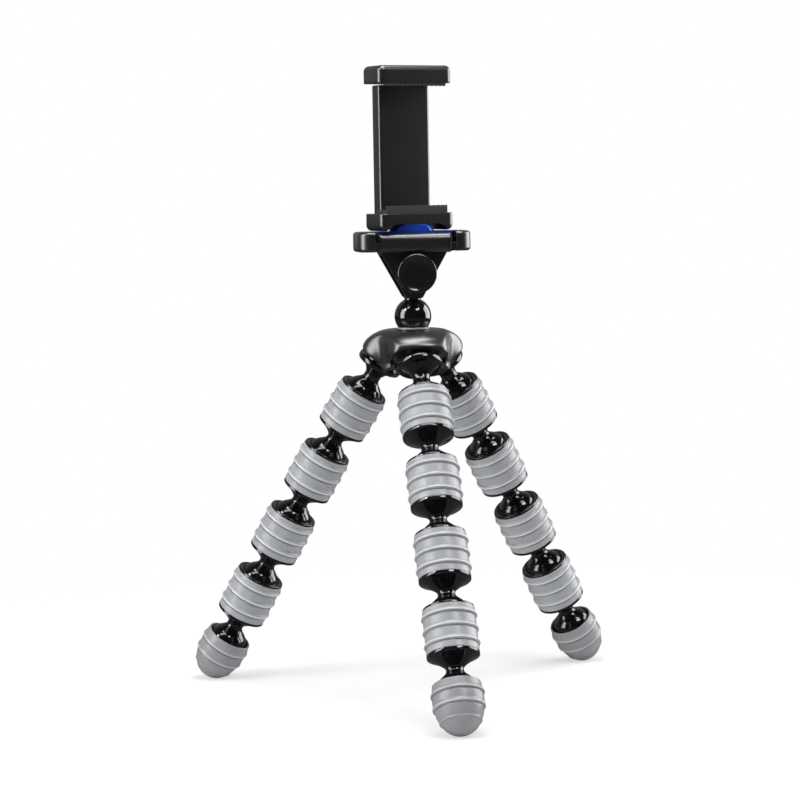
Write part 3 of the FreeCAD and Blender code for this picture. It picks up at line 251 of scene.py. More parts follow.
def moulded_copy(name, node, softness):
    """The node's own form, its corners joined and its sharp edges softened by a bevel of that width in mm."""
    mesh = frame["nodes"][node].data.copy()
    mesh.name = name
    mesh.materials.clear()
    piece = new_object(name, mesh)
    work = bmesh.new()
    work.from_mesh(mesh)
    bmesh.ops.remove_doubles(work, verts=work.verts, dist=2e-6)
    bmesh.ops.dissolve_degenerate(work, dist=1e-6, edges=work.edges)
    bmesh.ops.dissolve_limit(
        work, angle_limit=math.radians(0.6), use_dissolve_boundaries=False,
        verts=work.verts, edges=work.edges)
    bmesh.ops.recalc_face_normals(work, faces=work.faces)
    work.to_mesh(mesh)
    work.free()
    if "custom_normal" in mesh.attributes:
        mesh.attributes.remove(mesh.attributes["custom_normal"])
    mesh.shade_smooth()
    mesh.set_sharp_from_angle(angle=COPY_SHARP)
    bevel = piece.modifiers.new("soft edges", "BEVEL")
    bevel.width = softness * MM
    bevel.segments = 2
    bevel.limit_method = "ANGLE"
    bevel.angle_limit = COPY_SHARP
    bevel.use_clamp_overlap = True
    bevel.miter_outer = "MITER_ARC"
    bevel.harden_normals = True
    return piece


def place(piece, body, node, slot, finish=None):
    """Puts a mesh or an object in its node's place and on its body, with the slot's finish or another one."""
    if isinstance(piece, bpy.types.Mesh):
        piece = new_object(piece.name, piece)
    piece.data.materials.clear()
    piece.data.materials.append(finish_for(finish or slot))
    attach(piece, body)
    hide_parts(node)


def place_copy(name, body, node, slot, softness):
    """Puts the softened copy of a node in the node's place."""
    place(moulded_copy(name, node, softness), body, node, slot)


def dress(node, slot):
    """Gives a kept node its slot's finish."""
    materials = frame["nodes"][node].data.materials
    materials.clear()
    materials.append(finish_for(slot))


# Finishes

class TreeNodes:
    """Short calls for a tree's nodes. A value is a number, a colour, a vector or another node's output."""

    def __init__(self, tree, coordinates):
        self.tree = tree
        self.coordinates = self.add("ShaderNodeTexCoord").outputs[coordinates]

    def add(self, kind, values=None):
        """New node, with its inputs filled by name or number."""
        node = self.tree.nodes.new(kind)
        self.fill(node, values or {})
        return node

    def fill(self, node, values):
        for key, value in values.items():
            if isinstance(value, bpy.types.NodeSocket):
                self.tree.links.new(value, node.inputs[key])
            else:
                node.inputs[key].default_value = value

    def stretched(self, scale):
        """Coordinates, scaled along each axis."""
        return self.add("ShaderNodeMapping", {"Scale": scale, "Vector": self.coordinates}).outputs["Vector"]

    def noise(self, scale, detail=3.0, roughness=0.5, vector=None, distortion=0.0):
        return self.add("ShaderNodeTexNoise", {
            "Scale": scale, "Detail": detail, "Roughness": roughness, "Distortion": distortion,
            "Vector": vector or self.coordinates}).outputs["Fac"]

    def attribute(self, name):
        node = self.add("ShaderNodeAttribute")
        node.attribute_name = name
        return node.outputs["Fac"]

    def between(self, value, low, high, to_low, to_high):
        """Value mapped from one range to another and held inside it."""
        return self.add("ShaderNodeMapRange", {
            "Value": value, "From Min": low, "From Max": high, "To Min": to_low, "To Max": to_high,
        }).outputs["Result"]

    def wander(self, noise, to_low, to_high):
        """The middle part of a noise's range, mapped to another range."""
        return self.between(noise, 0.3, 0.7, to_low, to_high)

    def math(self, kind, first, second):
        node = self.add("ShaderNodeMath", {0: first, 1: second})
        node.operation = kind
        return node.outputs[0]

    def blend(self, share, first, second):
        """Colour that goes from the first to the second as the share goes from 0 to 1."""
        node = self.add("ShaderNodeMix")
        node.data_type = "RGBA"
        self.fill(node, {"Factor": share, 6: first, 7: second})
        return node.outputs[2]

    def bump(self, height, strength, distance, below=None):
        values = {"Strength": strength, "Distance": distance, "Height": height}
        if below is not None:
            values["Normal"] = below
        return self.add("ShaderNodeBump", values).outputs["Normal"]

    def mixed(self, share, first, second):
        """Shader that goes from the first to the second as the share goes from 0 to 1."""
        return self.add("ShaderNodeMixShader", {0: share, 1: first, 2: second}).outputs[0]


class FinishNodes(TreeNodes):
    """The nodes of a new material."""

    def __init__(self, name):
        self.material = bpy.data.materials.new(name)
        self.material.use_nodes = True
        super().__init__(self.material.node_tree, "Object")
        self.shader = self.tree.nodes["Principled BSDF"]

    def done(self, colour, roughness, normal, metallic=0.0, specular=0.5, coat=0.0, coat_roughness=0.1):
        self.fill(self.shader, {
            "Base Color": colour, "Roughness": roughness, "Normal": normal, "Metallic": metallic,
            "Specular IOR Level": specular, "Coat Weight": coat, "Coat Roughness": coat_roughness,
            "Coat IOR": COAT_IOR})
        return self.material


def scaled(colour, factor):
    """The colour times a factor, opaque and no brighter than white."""
    return (*(min(c * factor, 1.0) for c in colour[:3]), 1.0)


def moulded_plastic(name, colour, roughness, grain, specular=0.5, coat=0.0):
    """Moulded plastic: cloudy colour, fine grain, dust and hair scratches."""
    f = FinishNodes(name)
    cloud = f.noise(55.0, 5.0, 0.6)
    scratch_field = f.noise(60.0, 2.0, 0.5, f.stretched((1.0, 14.0, 30.0)), 0.6)
    scratch = f.between(scratch_field, 0.66, 0.70, 0.0, 1.0)
    base = f.blend(f.wander(cloud, 0.0, 1.0), scaled(colour, 0.8), scaled(colour, 1.3))
    dust = f.between(f.noise(1500.0, 2.0, 0.5), 0.74, 0.80, 0.0, 0.1)
    base = f.blend(dust, base, scaled(colour, 2.0))
    base = f.blend(f.math("MULTIPLY", scratch, 0.25), base, scaled(colour, 2.2))
    rough = f.between(f.noise(90.0, 2.0, 0.5), 0.2, 0.8, roughness * 0.94, roughness * 1.08)
    normal = f.bump(f.noise(2600.0, 2.0, 0.5), grain, 0.00003)
    return f.done(base, rough, normal, specular=specular, coat=coat, coat_roughness=roughness)


def soft_rubber(name, colour, roughness, grain, painted_ring_light=False):
    """Soft rubber: faint flow marks, matte grain and scuffs, and for ringed pieces painted shade in the
    grooves and a painted highlight on the crests.
    """
    f = FinishNodes(name)
    flow = f.noise(38.0, 4.0, 0.55, f.stretched((1.0, 1.0, 0.6)), 0.8)
    base = f.blend(f.wander(flow, 0.0, 1.0), scaled(colour, 0.93), scaled(colour, 1.06))
    scuff = f.between(f.noise(90.0, 7.0, 0.7), 0.58, 0.72, 0.0, 1.0)
    base = f.blend(f.math("MULTIPLY", scuff, 0.3), base, scaled(colour, 1.16))
    speck = f.between(f.noise(1700.0, 2.0, 0.5), 0.72, 0.80, 0.0, 0.5)
    base = f.blend(speck, base, scaled(colour, 0.72))
    if painted_ring_light:
        # Painted shade: the colour darkens with the depth in each ring's groove, a little less where scuffed.
        depth = f.math("MULTIPLY", f.attribute("groove"), f.between(scuff, 0.0, 1.0, 0.72, 0.5))
        base = f.blend(depth, base, scaled(colour, 0.55))
        # Painted highlight: the colour brightens near each ring's crest.
        base = f.blend(f.math("MULTIPLY", f.attribute("crest"), 0.85), base, scaled(colour, 1.9))
    rough = f.wander(f.noise(180.0, 5.0, 0.6), roughness * 0.88, roughness * 1.14)
    rough = f.math("ADD", rough, f.math("MULTIPLY", scuff, 0.07))
    normal = f.bump(f.noise(3000.0, 3.0, 0.6), grain, 0.00006)
    normal = f.bump(f.noise(420.0, 3.0, 0.5), 0.06, 0.0001, normal)
    return f.done(base, rough, normal)


def turned_metal(name, colour, roughness):
    """Turned or drawn metal: fine tool lines, cloudy tint and small pits."""
    f = FinishNodes(name)
    lines = f.noise(900.0, 3.0, 0.6, f.stretched((0.12, 0.12, 1.0)))
    cloud = f.noise(140.0, 4.0, 0.6)
    base = f.blend(f.wander(cloud, 0.0, 1.0), scaled(colour, 0.82), scaled(colour, 1.12))
    pits = f.between(f.noise(1900.0, 2.0, 0.5), 0.68, 0.76, 0.0, 1.0)
    base = f.blend(f.math("MULTIPLY", pits, 0.5), base, scaled(colour, 0.45))
    rough = f.wander(lines, roughness * 0.8, roughness * 1.25)
    rough = f.math("ADD", rough, f.math("MULTIPLY", pits, 0.12))
    normal = f.bump(lines, 0.10, 0.00004)
    normal = f.bump(pits, 0.05, 0.00003, normal)
    return f.done(base, rough, normal, metallic=1.0)


def finish_for(kind):
    """The finish of a material slot, or one of the two that only some pieces of a slot have, made once."""
    name = f"{kind}_finish"
    if name in bpy.data.materials:
        return bpy.data.materials[name]
    looks = bpy.context.scene.tripod_colours
    satin, gloss, rubber = looks.satin_roughness, looks.gloss_roughness, looks.sleeve_roughness
    makers = {
        "satin_black": lambda: moulded_plastic(name, looks.satin_black, satin, 0.010, 0.75, coat=0.7),
        "knob_black": lambda: moulded_plastic(name, looks.satin_black, 0.15, 0.008, coat=0.3),
        "gloss_black": lambda: moulded_plastic(name, looks.gloss_black, gloss, 0.008, coat=0.35),
        "black_metal": lambda: moulded_plastic(name, looks.gloss_black, 0.10, 0.01, coat=0.6),
        "seat_grey": lambda: moulded_plastic(name, looks.seat_grey, 0.35, 0.08),
        # Both ringed rubbers get painted shade in the grooves and a painted highlight on the crests.
        "grey_rubber": lambda: soft_rubber(name, looks.sleeve_grey, rubber, 0.04, painted_ring_light=True),
        "boot_rubber": lambda: soft_rubber(name, looks.boot_grey, rubber, 0.04, painted_ring_light=True),
        "dark_rubber": lambda: soft_rubber(name, looks.pad_grey, 0.62, 0.20),
        "blue_pad": lambda: soft_rubber(name, looks.pad_blue, 0.18, 0.03),
        "screw_steel": lambda: turned_metal(name, (0.06, 0.06, 0.063), 0.35),
        "brushed_steel": lambda: turned_metal(name, (0.56, 0.56, 0.57), 0.28),
        "brass_insert": lambda: turned_metal(name, (0.78, 0.57, 0.2), 0.30),
    }
    return makers[kind]()


# Settings

def length(name, description, default_mm):
    return FloatProperty(
        name=name, description=description, default=default_mm * MM, unit="LENGTH", precision=5)


def colour(name, description, default):
    return FloatVectorProperty(
        name=name, description=description, default=default, subtype="COLOR", size=3, min=0.0, max=1.0)


def share(name, description, default):
    return FloatProperty(
        name=name, description=description, default=default, min=0.0, max=1.0, subtype="FACTOR")


def power(name, description, default):
    return FloatProperty(name=name, description=description, default=default, min=0.0, unit="POWER")


def lean_angle(name, description, degrees):
    return FloatProperty(name=name, description=description, default=math.radians(degrees), subtype="ANGLE")


def mm(value):
    return value / MM


class TripodLegSizes(PropertyGroup):
    """Sizes of the leg pieces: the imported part's, with rims and flanges as full as in the photograph."""

    ball_radius: length("Ball radius", "Radius of the balls that the sockets hold", 10.0)
    ball_pitch: length("Ball pitch", "Distance between two balls of a leg", 35.8)
    socket_radius: length("Socket radius", "Inner radius of a socket", 10.15)
    wall_radius: length("Shell radius", "Outer radius of a shell under its sleeve", 11.0)
    sleeve_radius: length("Sleeve radius", "Outer radius of a sleeve between its rings", 11.9)
    sleeve_length: length("Sleeve length", "Length of a sleeve along the leg", 20.6)
    mouth_rise: length("Mouth rise", "Height of a shell's mouth above the ball's centre", 4.5)
    rim_height: length("Rim height", "Height of the rim above the sleeve", 1.3)
    rim_radius: length("Rim radius", "Outer radius of the rim", 11.6)
    flange_radius: length("Flange radius", "Outer radius of the flange under the sleeve", 11.9)
    flange_height: length("Flange height", "Height of the flange under the sleeve", 1.25)
    flare_height: length("Flare height", "Height of the hollow curve from flange to neck", 5.4)
    flare_middle: length("Flare middle", "Radius in the middle of the hollow curve", 6.5)
    neck_radius: length("Neck radius", "Radius of the neck above a ball", 4.0)
    ring_first: length("First ring", "Distance of the first raised ring from the upper edge", 3.5)
    ring_pitch: length("Ring pitch", "Distance between two raised rings", 6.5)
    ring_half_width: length("Ring half width", "Half the width of a raised ring", 1.5)
    ring_proud: length("Ring height", "Height of a raised ring", 0.75)
    ring_groove: length("Ring groove", "Depth of the fine groove under a raised ring", 0.30)
    toe_drop: length("Toe drop", "Distance of the toe's centre below the last ball", 7.0)
    boot_widest: length("Boot's widest place", "Depth of the boot's widest place below the last ball", 2.5)
    boot_mouth_drop: length("Boot's mouth taper", "How much narrower the boot is at its mouth", 0.75)
    ring_count: IntProperty(name="Rings", description="Raised rings on a sleeve", default=3, min=1, max=6)
    foot_lean: lean_angle("Foot lean", "Lean of the foot from the vertical", 33.0)
    hub_lean: lean_angle("Root lean", "Lean of the leg's root from the vertical", 33.1)


class TripodHeadSizes(PropertyGroup):
    """Sizes of the ball head's round pieces and of the edges' softness."""

    head_ball_radius: length("Head ball radius", "Radius of the ball under the platform", 8.7)
    knob_radius: length("Knob radius", "Radius of the tilt knob", 9.3)
    knob_height: length("Knob height", "Height of the tilt knob", 8.2)
    knob_round: length("Knob rounding", "Rounding of the knob's front edge", 0.9)
    bar_round: length("Bar rounding", "Rounding of the release bar's front edges", 3.2)
    ear_reach: length("Ear reach", "How far the release bar's guide ears reach past it", 4.0)
    edge_soft: length("Edge softness", "Width of the small bevel on moulded edges", 0.25)
    pad_soft: length("Pad softness", "Width of the small bevel on rubber edges", 0.12)


class TripodHubSizes(PropertyGroup):
    """Sizes of the hub's cover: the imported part's, with hoods and creases as soft as in the photograph."""

    top_rise: length("Top", "Height of the hub's top above the root balls", 31.5)
    seam_rise: length("Seam", "Height of the seam between cover and base above the root balls", 16.8)
    flat_radius: length("Flat", "Radius of the top's flat middle", 13.0)
    shoulder: length("Shoulder", "Radius of the lobes' rounded shoulders", 14.0)
    reach: length("Reach", "Distance of the lobes' ends from the stand's axis", 25.2)
    drum_radius: length("Drum radius", "Radius of the round middle", 18.5)
    drum_round: length("Drum rounding", "Rounding of the middle's upper edge", 5.0)
    hood_radius: length("Hood radius", "Outer radius of a hood round its leg's root", 14.5)
    hood_face: length("Hood face", "Distance of a hood's face from its root ball", 21.3)
    bore_radius: length("Bore radius", "Radius of the round opening under a hood", 12.0)
    bore_depth: length("Bore depth", "Depth of the round opening", 1.4)
    wall: length("Wall", "Wall thickness of the cover", 2.4)
    seat_hole: length("Seat hole", "Radius of the hole for the ring on top", 7.6)
    lip_soft: length("Lip softness", "Softness of the hoods' front edges", 2.0)
    crease_soft: length("Crease softness", "Softness of the creases between hoods and middle", 1.1)


class TripodColours(PropertyGroup):
    """Colours and gloss of the finishes."""

    satin_black: colour("Satin black", "Colour of the hub, platform and clamp", (0.007, 0.007, 0.008))
    gloss_black: colour("Gloss black", "Colour of the balls and shells", (0.004, 0.004, 0.005))
    sleeve_grey: colour("Sleeve grey", "Colour of the leg's rubber", (0.335, 0.343, 0.358))
    boot_grey: colour("Boot grey", "Colour of the boots' rubber", (0.262, 0.266, 0.276))
    pad_grey: colour("Pad grey", "Colour of the jaws' rubber", (0.033, 0.034, 0.036))
    pad_blue: colour("Pad blue", "Colour of the plate's pad", (0.012, 0.06, 0.42))
    seat_grey: colour("Seat grey", "Colour of the ring that the head ball turns in", (0.36, 0.36, 0.37))
    floor_white: colour("Floor", "Colour of the floor", (0.93, 0.93, 0.93))
    satin_roughness: share("Satin roughness", "Roughness of the satin plastic", 0.30)
    gloss_roughness: share("Gloss roughness", "Roughness of the polished plastic", 0.10)
    sleeve_roughness: share("Sleeve roughness", "Roughness of the leg's rubber", 0.30)


class TripodLight(PropertyGroup):
    """Levels of the lamps and the camera's place."""

    key_power: power("Key", "Power of the left front lamp", 3.5)
    fill_power: power("Fill", "Power of the right front lamp", 5.0)
    front_power: power("Front", "Power of the wide lamp high in front", 10.0)
    top_power: power("Top", "Power of the lamp above", 6.0)
    left_power: power("Left", "Power of the upright lamp on the left", 7.8)
    right_power: power("Right", "Power of the upright lamp on the right", 10.8)
    air: share("Air light", "Level of the even light from all round", 0.10)
    camera_place: FloatVectorProperty(
        name="Camera place", description="The camera's place",
        default=(-0.19843, -1.15936, 0.24151), subtype="TRANSLATION")
    camera_lens: FloatProperty(
        name="Lens", description="Focal length on a 36 mm sensor", default=114.74, unit="CAMERA")


# Leg pieces

def ring_bumps(z, heights, leg):
    """Raised rings over a wall: h (1 - t^2), wide above the crest and steep under it, less a fine groove."""
    above = z[:, None] - heights[None, :]
    width = np.where(above > 0.0, mm(leg.ring_half_width), RING_UNDERSIDE * mm(leg.ring_half_width))
    bumps = np.clip(1.0 - (above / width) ** 2, 0.0, None) * mm(leg.ring_proud)
    return (bumps - groove_depths(above, leg)).sum(axis=1)


def groove_depths(above, leg):
    """Depth of the groove under each ring's crest: d exp(-(s / w)^2), with s from a place below the crest."""
    beside = above + RING_UNDERSIDE * mm(leg.ring_half_width) + GROOVE_DROP
    return np.exp(-(beside / GROOVE_HALF_WIDTH) ** 2) * mm(leg.ring_groove)


def sleeve_top(leg):
    return mm(leg.mouth_rise) - mm(leg.rim_height)


def ring_heights(leg):
    return sleeve_top(leg) - mm(leg.ring_first) - mm(leg.ring_pitch) * np.arange(leg.ring_count)


def sleeve_profile(leg):
    """Wall with raised rings, both end edges softly rounded."""
    wall, outer = mm(leg.wall_radius), mm(leg.sleeve_radius)
    top = sleeve_top(leg)
    low = top - mm(leg.sleeve_length)
    plain_end = 0.7
    z = np.linspace(top - plain_end, low + plain_end, 150)
    face = np.stack([outer + ring_bumps(z, ring_heights(leg), leg), z], axis=1)
    return outline([(wall, top, 0.1), (outer, top, 0.5), face, (outer, low, 0.5), (wall, low, 0.1)])


def ball_root(neck, ball, ball_z):
    """Hollow curve from the neck to the ball under it: a parabola between the two."""
    foot_r = neck + BALL_FOOT_OUT
    foot_z = ball_z + math.sqrt(ball ** 2 - foot_r ** 2)
    neck_z = ball_z + math.sqrt(ball ** 2 - neck ** 2)
    return bow((neck, neck_z + 1.5), (neck + 0.5, neck_z + 0.36), (foot_r, foot_z), 10)


def shell_profile(leg):
    """Rim, wall, flange, hollow flare, neck, ball, bore and the socket's inside."""
    mouth, cavity, wall = mm(leg.mouth_rise), mm(leg.socket_radius), mm(leg.wall_radius)
    rim, flange, neck = mm(leg.rim_radius), mm(leg.flange_radius), mm(leg.neck_radius)
    ball, pitch = mm(leg.ball_radius), mm(leg.ball_pitch)
    top = sleeve_top(leg)
    low = top - mm(leg.sleeve_length)
    flange_low = low - mm(leg.flange_height)
    flare = mm(leg.flare_height)
    neck_low = flange_low - flare
    bore, hollow, floor = 1.8, 8.5, 2.2
    mouth_r = math.sqrt(cavity ** 2 - mouth ** 2)
    flare_middle = (mm(leg.flare_middle), flange_low - flare * 0.55)
    bend = bow((flange - 0.35, flange_low), flare_middle, (neck, neck_low), 26)
    neck_angle = math.degrees(math.acos(neck / ball))
    bore_angle = -math.degrees(math.acos(bore / ball))
    hollow_angle = -math.degrees(math.acos(hollow / cavity))
    mouth_angle = math.degrees(math.asin((mouth - 0.8) / cavity))
    return outline([
        (mouth_r + 0.4, mouth - 0.45, 0.2), (rim - 0.9, mouth, 0.5), (rim, mouth - 0.3, 0.3),
        (rim, top, 0.12), (wall, top, 0.0), (wall, low, 0.0),
        (flange, low, 0.1), (flange, flange_low, 0.3), bend,
        ball_root(neck, ball, -pitch),
        arc(-pitch, ball, neck_angle - BALL_ARC_SHORT, bore_angle, 60),
        (bore, neck_low + floor, 0.2), (hollow, flange_low + floor, 0.2),
        arc(0.0, cavity, hollow_angle, mouth_angle, 40),
    ])


def core_bottom(leg, count):
    """Quarter ellipse that closes the foot's cup: r = a + b cos t, z = -c - d sin t."""
    t = np.radians(np.linspace(0.0, 90.0, count))
    r = CORE_ROUND_R + (mm(leg.wall_radius) - CORE_ROUND_R) * np.cos(t)
    return np.stack([r, -CORE_SIDE - (CORE_DEPTH - CORE_SIDE) * np.sin(t)], axis=1)


def boot_profile(leg):
    """Round lip, wall with raised rings, egg-shaped toe that the floor cuts flat later, and the cup's room.

    The toe is r = R cos(t)^p, z = -w - h sin(t). Above it the wall draws in by d u^2, with u from 0 to 1.
    """
    outer, wall, cavity = mm(leg.sleeve_radius), mm(leg.wall_radius), mm(leg.socket_radius)
    mouth, widest = mm(leg.mouth_rise), mm(leg.boot_widest)
    tip = mm(leg.toe_drop) + outer
    body_r = outer - 0.35
    toe_power, lip_round, tip_plain_r = 0.86, 1.0, 3.0
    ring_share, edge_proud, edge_half = 0.8, 0.4, 0.5
    lip_z = mouth - LIP_DROP
    lip_r = math.sqrt(cavity ** 2 - lip_z ** 2) + 0.5
    t = np.radians(np.linspace(90.0, 0.0, 96))
    low = np.stack([body_r * np.cos(t) ** toe_power, -widest - (tip - widest) * np.sin(t)], axis=1)
    high_z = np.linspace(-widest, mouth - lip_round, 70)[1:]
    high_r = body_r - mm(leg.boot_mouth_drop) * ((high_z + widest) / (mouth + widest)) ** 2
    form = np.vstack([low, np.stack([high_r, high_z], axis=1)])
    heights = ring_heights(leg)
    bumps = ring_bumps(form[:, 1], heights[:2], leg) * ring_share
    bumps += edge_proud * np.exp(-((form[:, 1] - heights[2]) / edge_half) ** 2)
    form[:, 0] += np.where(form[:, 0] > tip_plain_r, bumps, 0.0)
    return outline([
        form, (form[-1, 0] - 0.05, mouth, 0.6), (lip_r, mouth, 0.2), (lip_r, lip_z, 0.15),
        (wall, lip_z, 0.0), core_bottom(leg, 12), np.array([[0.0, -CORE_DEPTH]])])


def core_profile(leg):
    """Cup for the last ball: straight wall, round bottom and the ball's cavity."""
    wall, cavity = mm(leg.wall_radius), mm(leg.socket_radius)
    lip_z = mm(leg.mouth_rise) - LIP_DROP
    lip = math.degrees(math.asin(lip_z / cavity))
    return outline([
        np.array([[0.0, -cavity]]), arc(0.0, cavity, -88.0, lip, 60), (wall, lip_z, 0.15),
        core_bottom(leg, 14), np.array([[0.0, -CORE_DEPTH]])])


def root_profile(leg):
    """Ball, neck, flared flange and the shank in the hub."""
    ball, neck = mm(leg.ball_radius), mm(leg.neck_radius)
    flange, flange_low, flange_top, lip_out = 10.5, 18.1, 20.0, 0.35
    shank, shank_end = 8.0, 27.0
    flare = mm(leg.flare_height)
    top_angle = math.degrees(math.acos(neck / ball))
    bend = bow(
        (neck, flange_low - flare), (mm(leg.flare_middle) - 0.3, flange_low - flare * 0.42),
        (flange - 1.1, flange_low + 0.1), 26)
    lip = bow(
        (flange - 1.05, flange_low + 0.12), (flange - lip_out, flange_low - 0.7),
        (flange + lip_out, flange_low + 0.12), 14)
    return outline([
        np.array([[0.0, -ball]]), arc(0.0, ball, -89.0, top_angle - BALL_ARC_SHORT, 66),
        ball_root(neck, ball, 0.0)[::-1], bend,
        lip, (flange + lip_out, flange_top, 0.35), (shank, flange_top, 0.1),
        (shank, shank_end, 0.3), np.array([[0.0, shank_end]])])


def vertex_places(mesh):
    points = np.empty(len(mesh.vertices) * 3)
    mesh.vertices.foreach_get("co", points)
    return points.reshape(-1, 3)


def cut_at_floor(mesh):
    """Lays every point that would go below the floor on the floor: z = max(z, 0)."""
    points = vertex_places(mesh)
    points[:, 2] = np.maximum(points[:, 2], 0.0)
    mesh.vertices.foreach_set("co", points.ravel())
    mesh.update()


def mark_grooves(mesh, leg, origin, axes, heights):
    """Stores two attributes from 0 to 1: groove, the depth in a groove, and crest, nearness to a crest. The
    rubber's finish paints shade from the first and a highlight from the second.
    """
    crest_rise, crest_half = 0.25, 0.4
    along = mm((vertex_places(mesh) - origin) @ axes[:, 2])
    above = along[:, None] - heights[None, :]
    depth = (groove_depths(above, leg) / mm(leg.ring_groove)).max(axis=1)
    crest = np.exp(-((above - crest_rise) / crest_half) ** 2).max(axis=1)
    for name, values in (("groove", depth), ("crest", crest)):
        layer = mesh.attributes.new(name, "FLOAT", "POINT")
        layer.data.foreach_set("value", values.astype(np.float32))


class TRIPOD_OT_sleeves(Operator):
    """Rubber sleeves with raised rings round every leg link"""

    bl_idname = "tripod.sleeves"
    bl_label = "Leg sleeves"

    def execute(self, context):
        leg = context.scene.tripod_legs
        profile = sleeve_profile(leg)
        for link, centre, axes in link_places():
            mesh = turned(f"{link}_rubber_sleeve", profile, centre, axes)
            mark_grooves(mesh, leg, centre, axes, ring_heights(leg))
            place(mesh, link, f"{link}_sleeve", "grey_rubber")
        return {"FINISHED"}


class TRIPOD_OT_shells(Operator):
    """Socket shells with their flared undersides, necks and balls"""

    bl_idname = "tripod.shells"
    bl_label = "Leg shells"

    def execute(self, context):
        profile = shell_profile(context.scene.tripod_legs)
        for link, centre, axes in link_places():
            place(turned(f"{link}_ball_shell", profile, centre, axes), link, f"{link}_shell", "gloss_black")
        return {"FINISHED"}


class TRIPOD_OT_feet(Operator):
    """Rubber boots and the cups inside them"""

    bl_idname = "tripod.feet"
    bl_label = "Feet"

    def execute(self, context):
        leg = context.scene.tripod_legs
        for n in LEGS:
            centre = leg_centres(n)[-1]
            axes = leaning_axes(n, leg.foot_lean)
            boot = turned(f"leg_{n}_rubber_boot", boot_profile(leg), centre, axes)
            mark_grooves(boot, leg, centre, axes, ring_heights(leg)[:2])
            cut_at_floor(boot)
            place(boot, f"leg_{n}_foot", f"leg_{n}_foot_boot", "grey_rubber", "boot_rubber")
            core = turned(f"leg_{n}_foot_cup", core_profile(leg), centre, axes)
            place(core, f"leg_{n}_foot", f"leg_{n}_foot_core", "gloss_black")
        return {"FINISHED"}


class TRIPOD_OT_root_balls(Operator):
    """Balls and flared flanges that the hub holds"""

    bl_idname = "tripod.root_balls"
    bl_label = "Root balls"

    def execute(self, context):
        leg = context.scene.tripod_legs
        for n in LEGS:
            axes = leaning_axes(n, leg.hub_lean)
            mesh = turned(f"leg_{n}_hub_ball", root_profile(leg), leg_centres(n)[0], axes)
            place(mesh, "root", f"leg_{n}_root_ball", "gloss_black")
        return {"FINISHED"}


# Hub and head

def soft_max(a, b, softness):
    """Larger of two fields, rounded where they meet: (a + b + sqrt((a - b)^2 + s^2)) / 2."""
    return 0.5 * (a + b + np.sqrt((a - b) ** 2 + softness ** 2))


def soft_min(a, b, softness):
    return -soft_max(-a, -b, softness)


def round_cap(r, z, flat, rounding):
    """Distance to an upright post of the radius flat + rounding, with its top edge rounded about z = 0."""
    beside = r - flat
    outside = np.hypot(np.maximum(beside, 0.0), np.maximum(z, 0.0))
    return outside + np.minimum(np.maximum(beside, z), 0.0) - rounding


def hub_field(points, hub, balls, leans):
    """Field that is 0 on the cover's outside and negative in it, in millimetres.

    It is the drum joined with three leaning hoods under one dome, cut by the hoods' faces and openings.
    """
    r, z = np.hypot(points[..., 0], points[..., 1]), points[..., 2]
    top = mm(hub.top_rise)
    shoulder, flat = mm(hub.shoulder), mm(hub.flat_radius)
    dome = soft_max(round_cap(r, z - (top - shoulder), flat, shoulder), r - mm(hub.reach), 1.0)
    rounding = mm(hub.drum_round)
    field = round_cap(r, z - (top - rounding), mm(hub.drum_radius) - rounding, rounding)
    crease, lip = mm(hub.crease_soft), mm(hub.lip_soft)
    cuts = []
    for ball, axis in zip(balls, leans):
        away = points - ball
        along = away @ axis
        beside = np.sqrt(np.maximum((away ** 2).sum(axis=-1) - along ** 2, 0.0))
        field = soft_min(field, soft_max(beside - mm(hub.hood_radius), dome, 0.8), crease)
        opening = np.maximum(beside - mm(hub.bore_radius), along - mm(hub.hood_face) - mm(hub.bore_depth))
        cuts.append((mm(hub.hood_face) - along, opening))
    for face, opening in cuts:
        field = soft_max(soft_max(field, face, lip), -opening, 0.25)
    return field


def hub_cover_mesh(hub, lean):
    """Closed shell: along each direction from the seam's middle, the first place where the field is 0."""
    middle = joint_place("pan")
    middle[2] = leg_centres(1)[0][2]
    balls = [mm(leg_centres(n)[0] - middle) for n in LEGS]
    leans = [leaning_axes(n, lean)[:, 2] for n in LEGS]
    seam = np.array([0.0, 0.0, mm(hub.seam_rise)])
    hole = math.atan2(mm(hub.top_rise) - mm(hub.seam_rise), mm(hub.seat_hole))
    height = np.linspace(hole, 0.0, 130)
    turn = np.linspace(0.0, 2.0 * math.pi, 370, endpoint=False)
    h, a = np.meshgrid(height, turn, indexing="ij")
    rays = np.stack([np.cos(h) * np.cos(a), np.cos(h) * np.sin(a), np.sin(h)], axis=-1)
    nearest, farthest, step = 9.0, 30.0, 0.3
    distance = np.arange(nearest, farthest, step)
    values = np.stack([hub_field(seam + rays * d, hub, balls, leans) for d in distance], axis=-1)
    first = np.argmax(values > 0.0, axis=-1)
    before = np.maximum(first - 1, 0)
    low = np.take_along_axis(values, before[..., None], -1)[..., 0]
    high = np.take_along_axis(values, first[..., None], -1)[..., 0]
    found = distance[before] + (distance[first] - distance[before]) * (-low / (high - low))
    outside = seam + rays * found[..., None]
    inside = seam + rays * (found - mm(hub.wall))[..., None]
    grid = np.concatenate([outside, inside[::-1]]) * MM + middle
    return mesh_from_grid("hub_lobed_cover", grid, True)


class TRIPOD_OT_hub(Operator):
    """Three-lobed hub cover, its base and the ring on top"""

    bl_idname = "tripod.hub"
    bl_label = "Hub"

    def execute(self, context):
        soft = mm(context.scene.tripod_head.edge_soft)
        cover = hub_cover_mesh(context.scene.tripod_hub, context.scene.tripod_legs.hub_lean)
        place(cover, "root", "hub_cover", "satin_black")
        place_copy("hub_faceted_base", "root", "hub_base", "satin_black", soft)
        place_copy("hub_ball_ring", "root", "ball_seat", "seat_grey", 0.15)
        return {"FINISHED"}


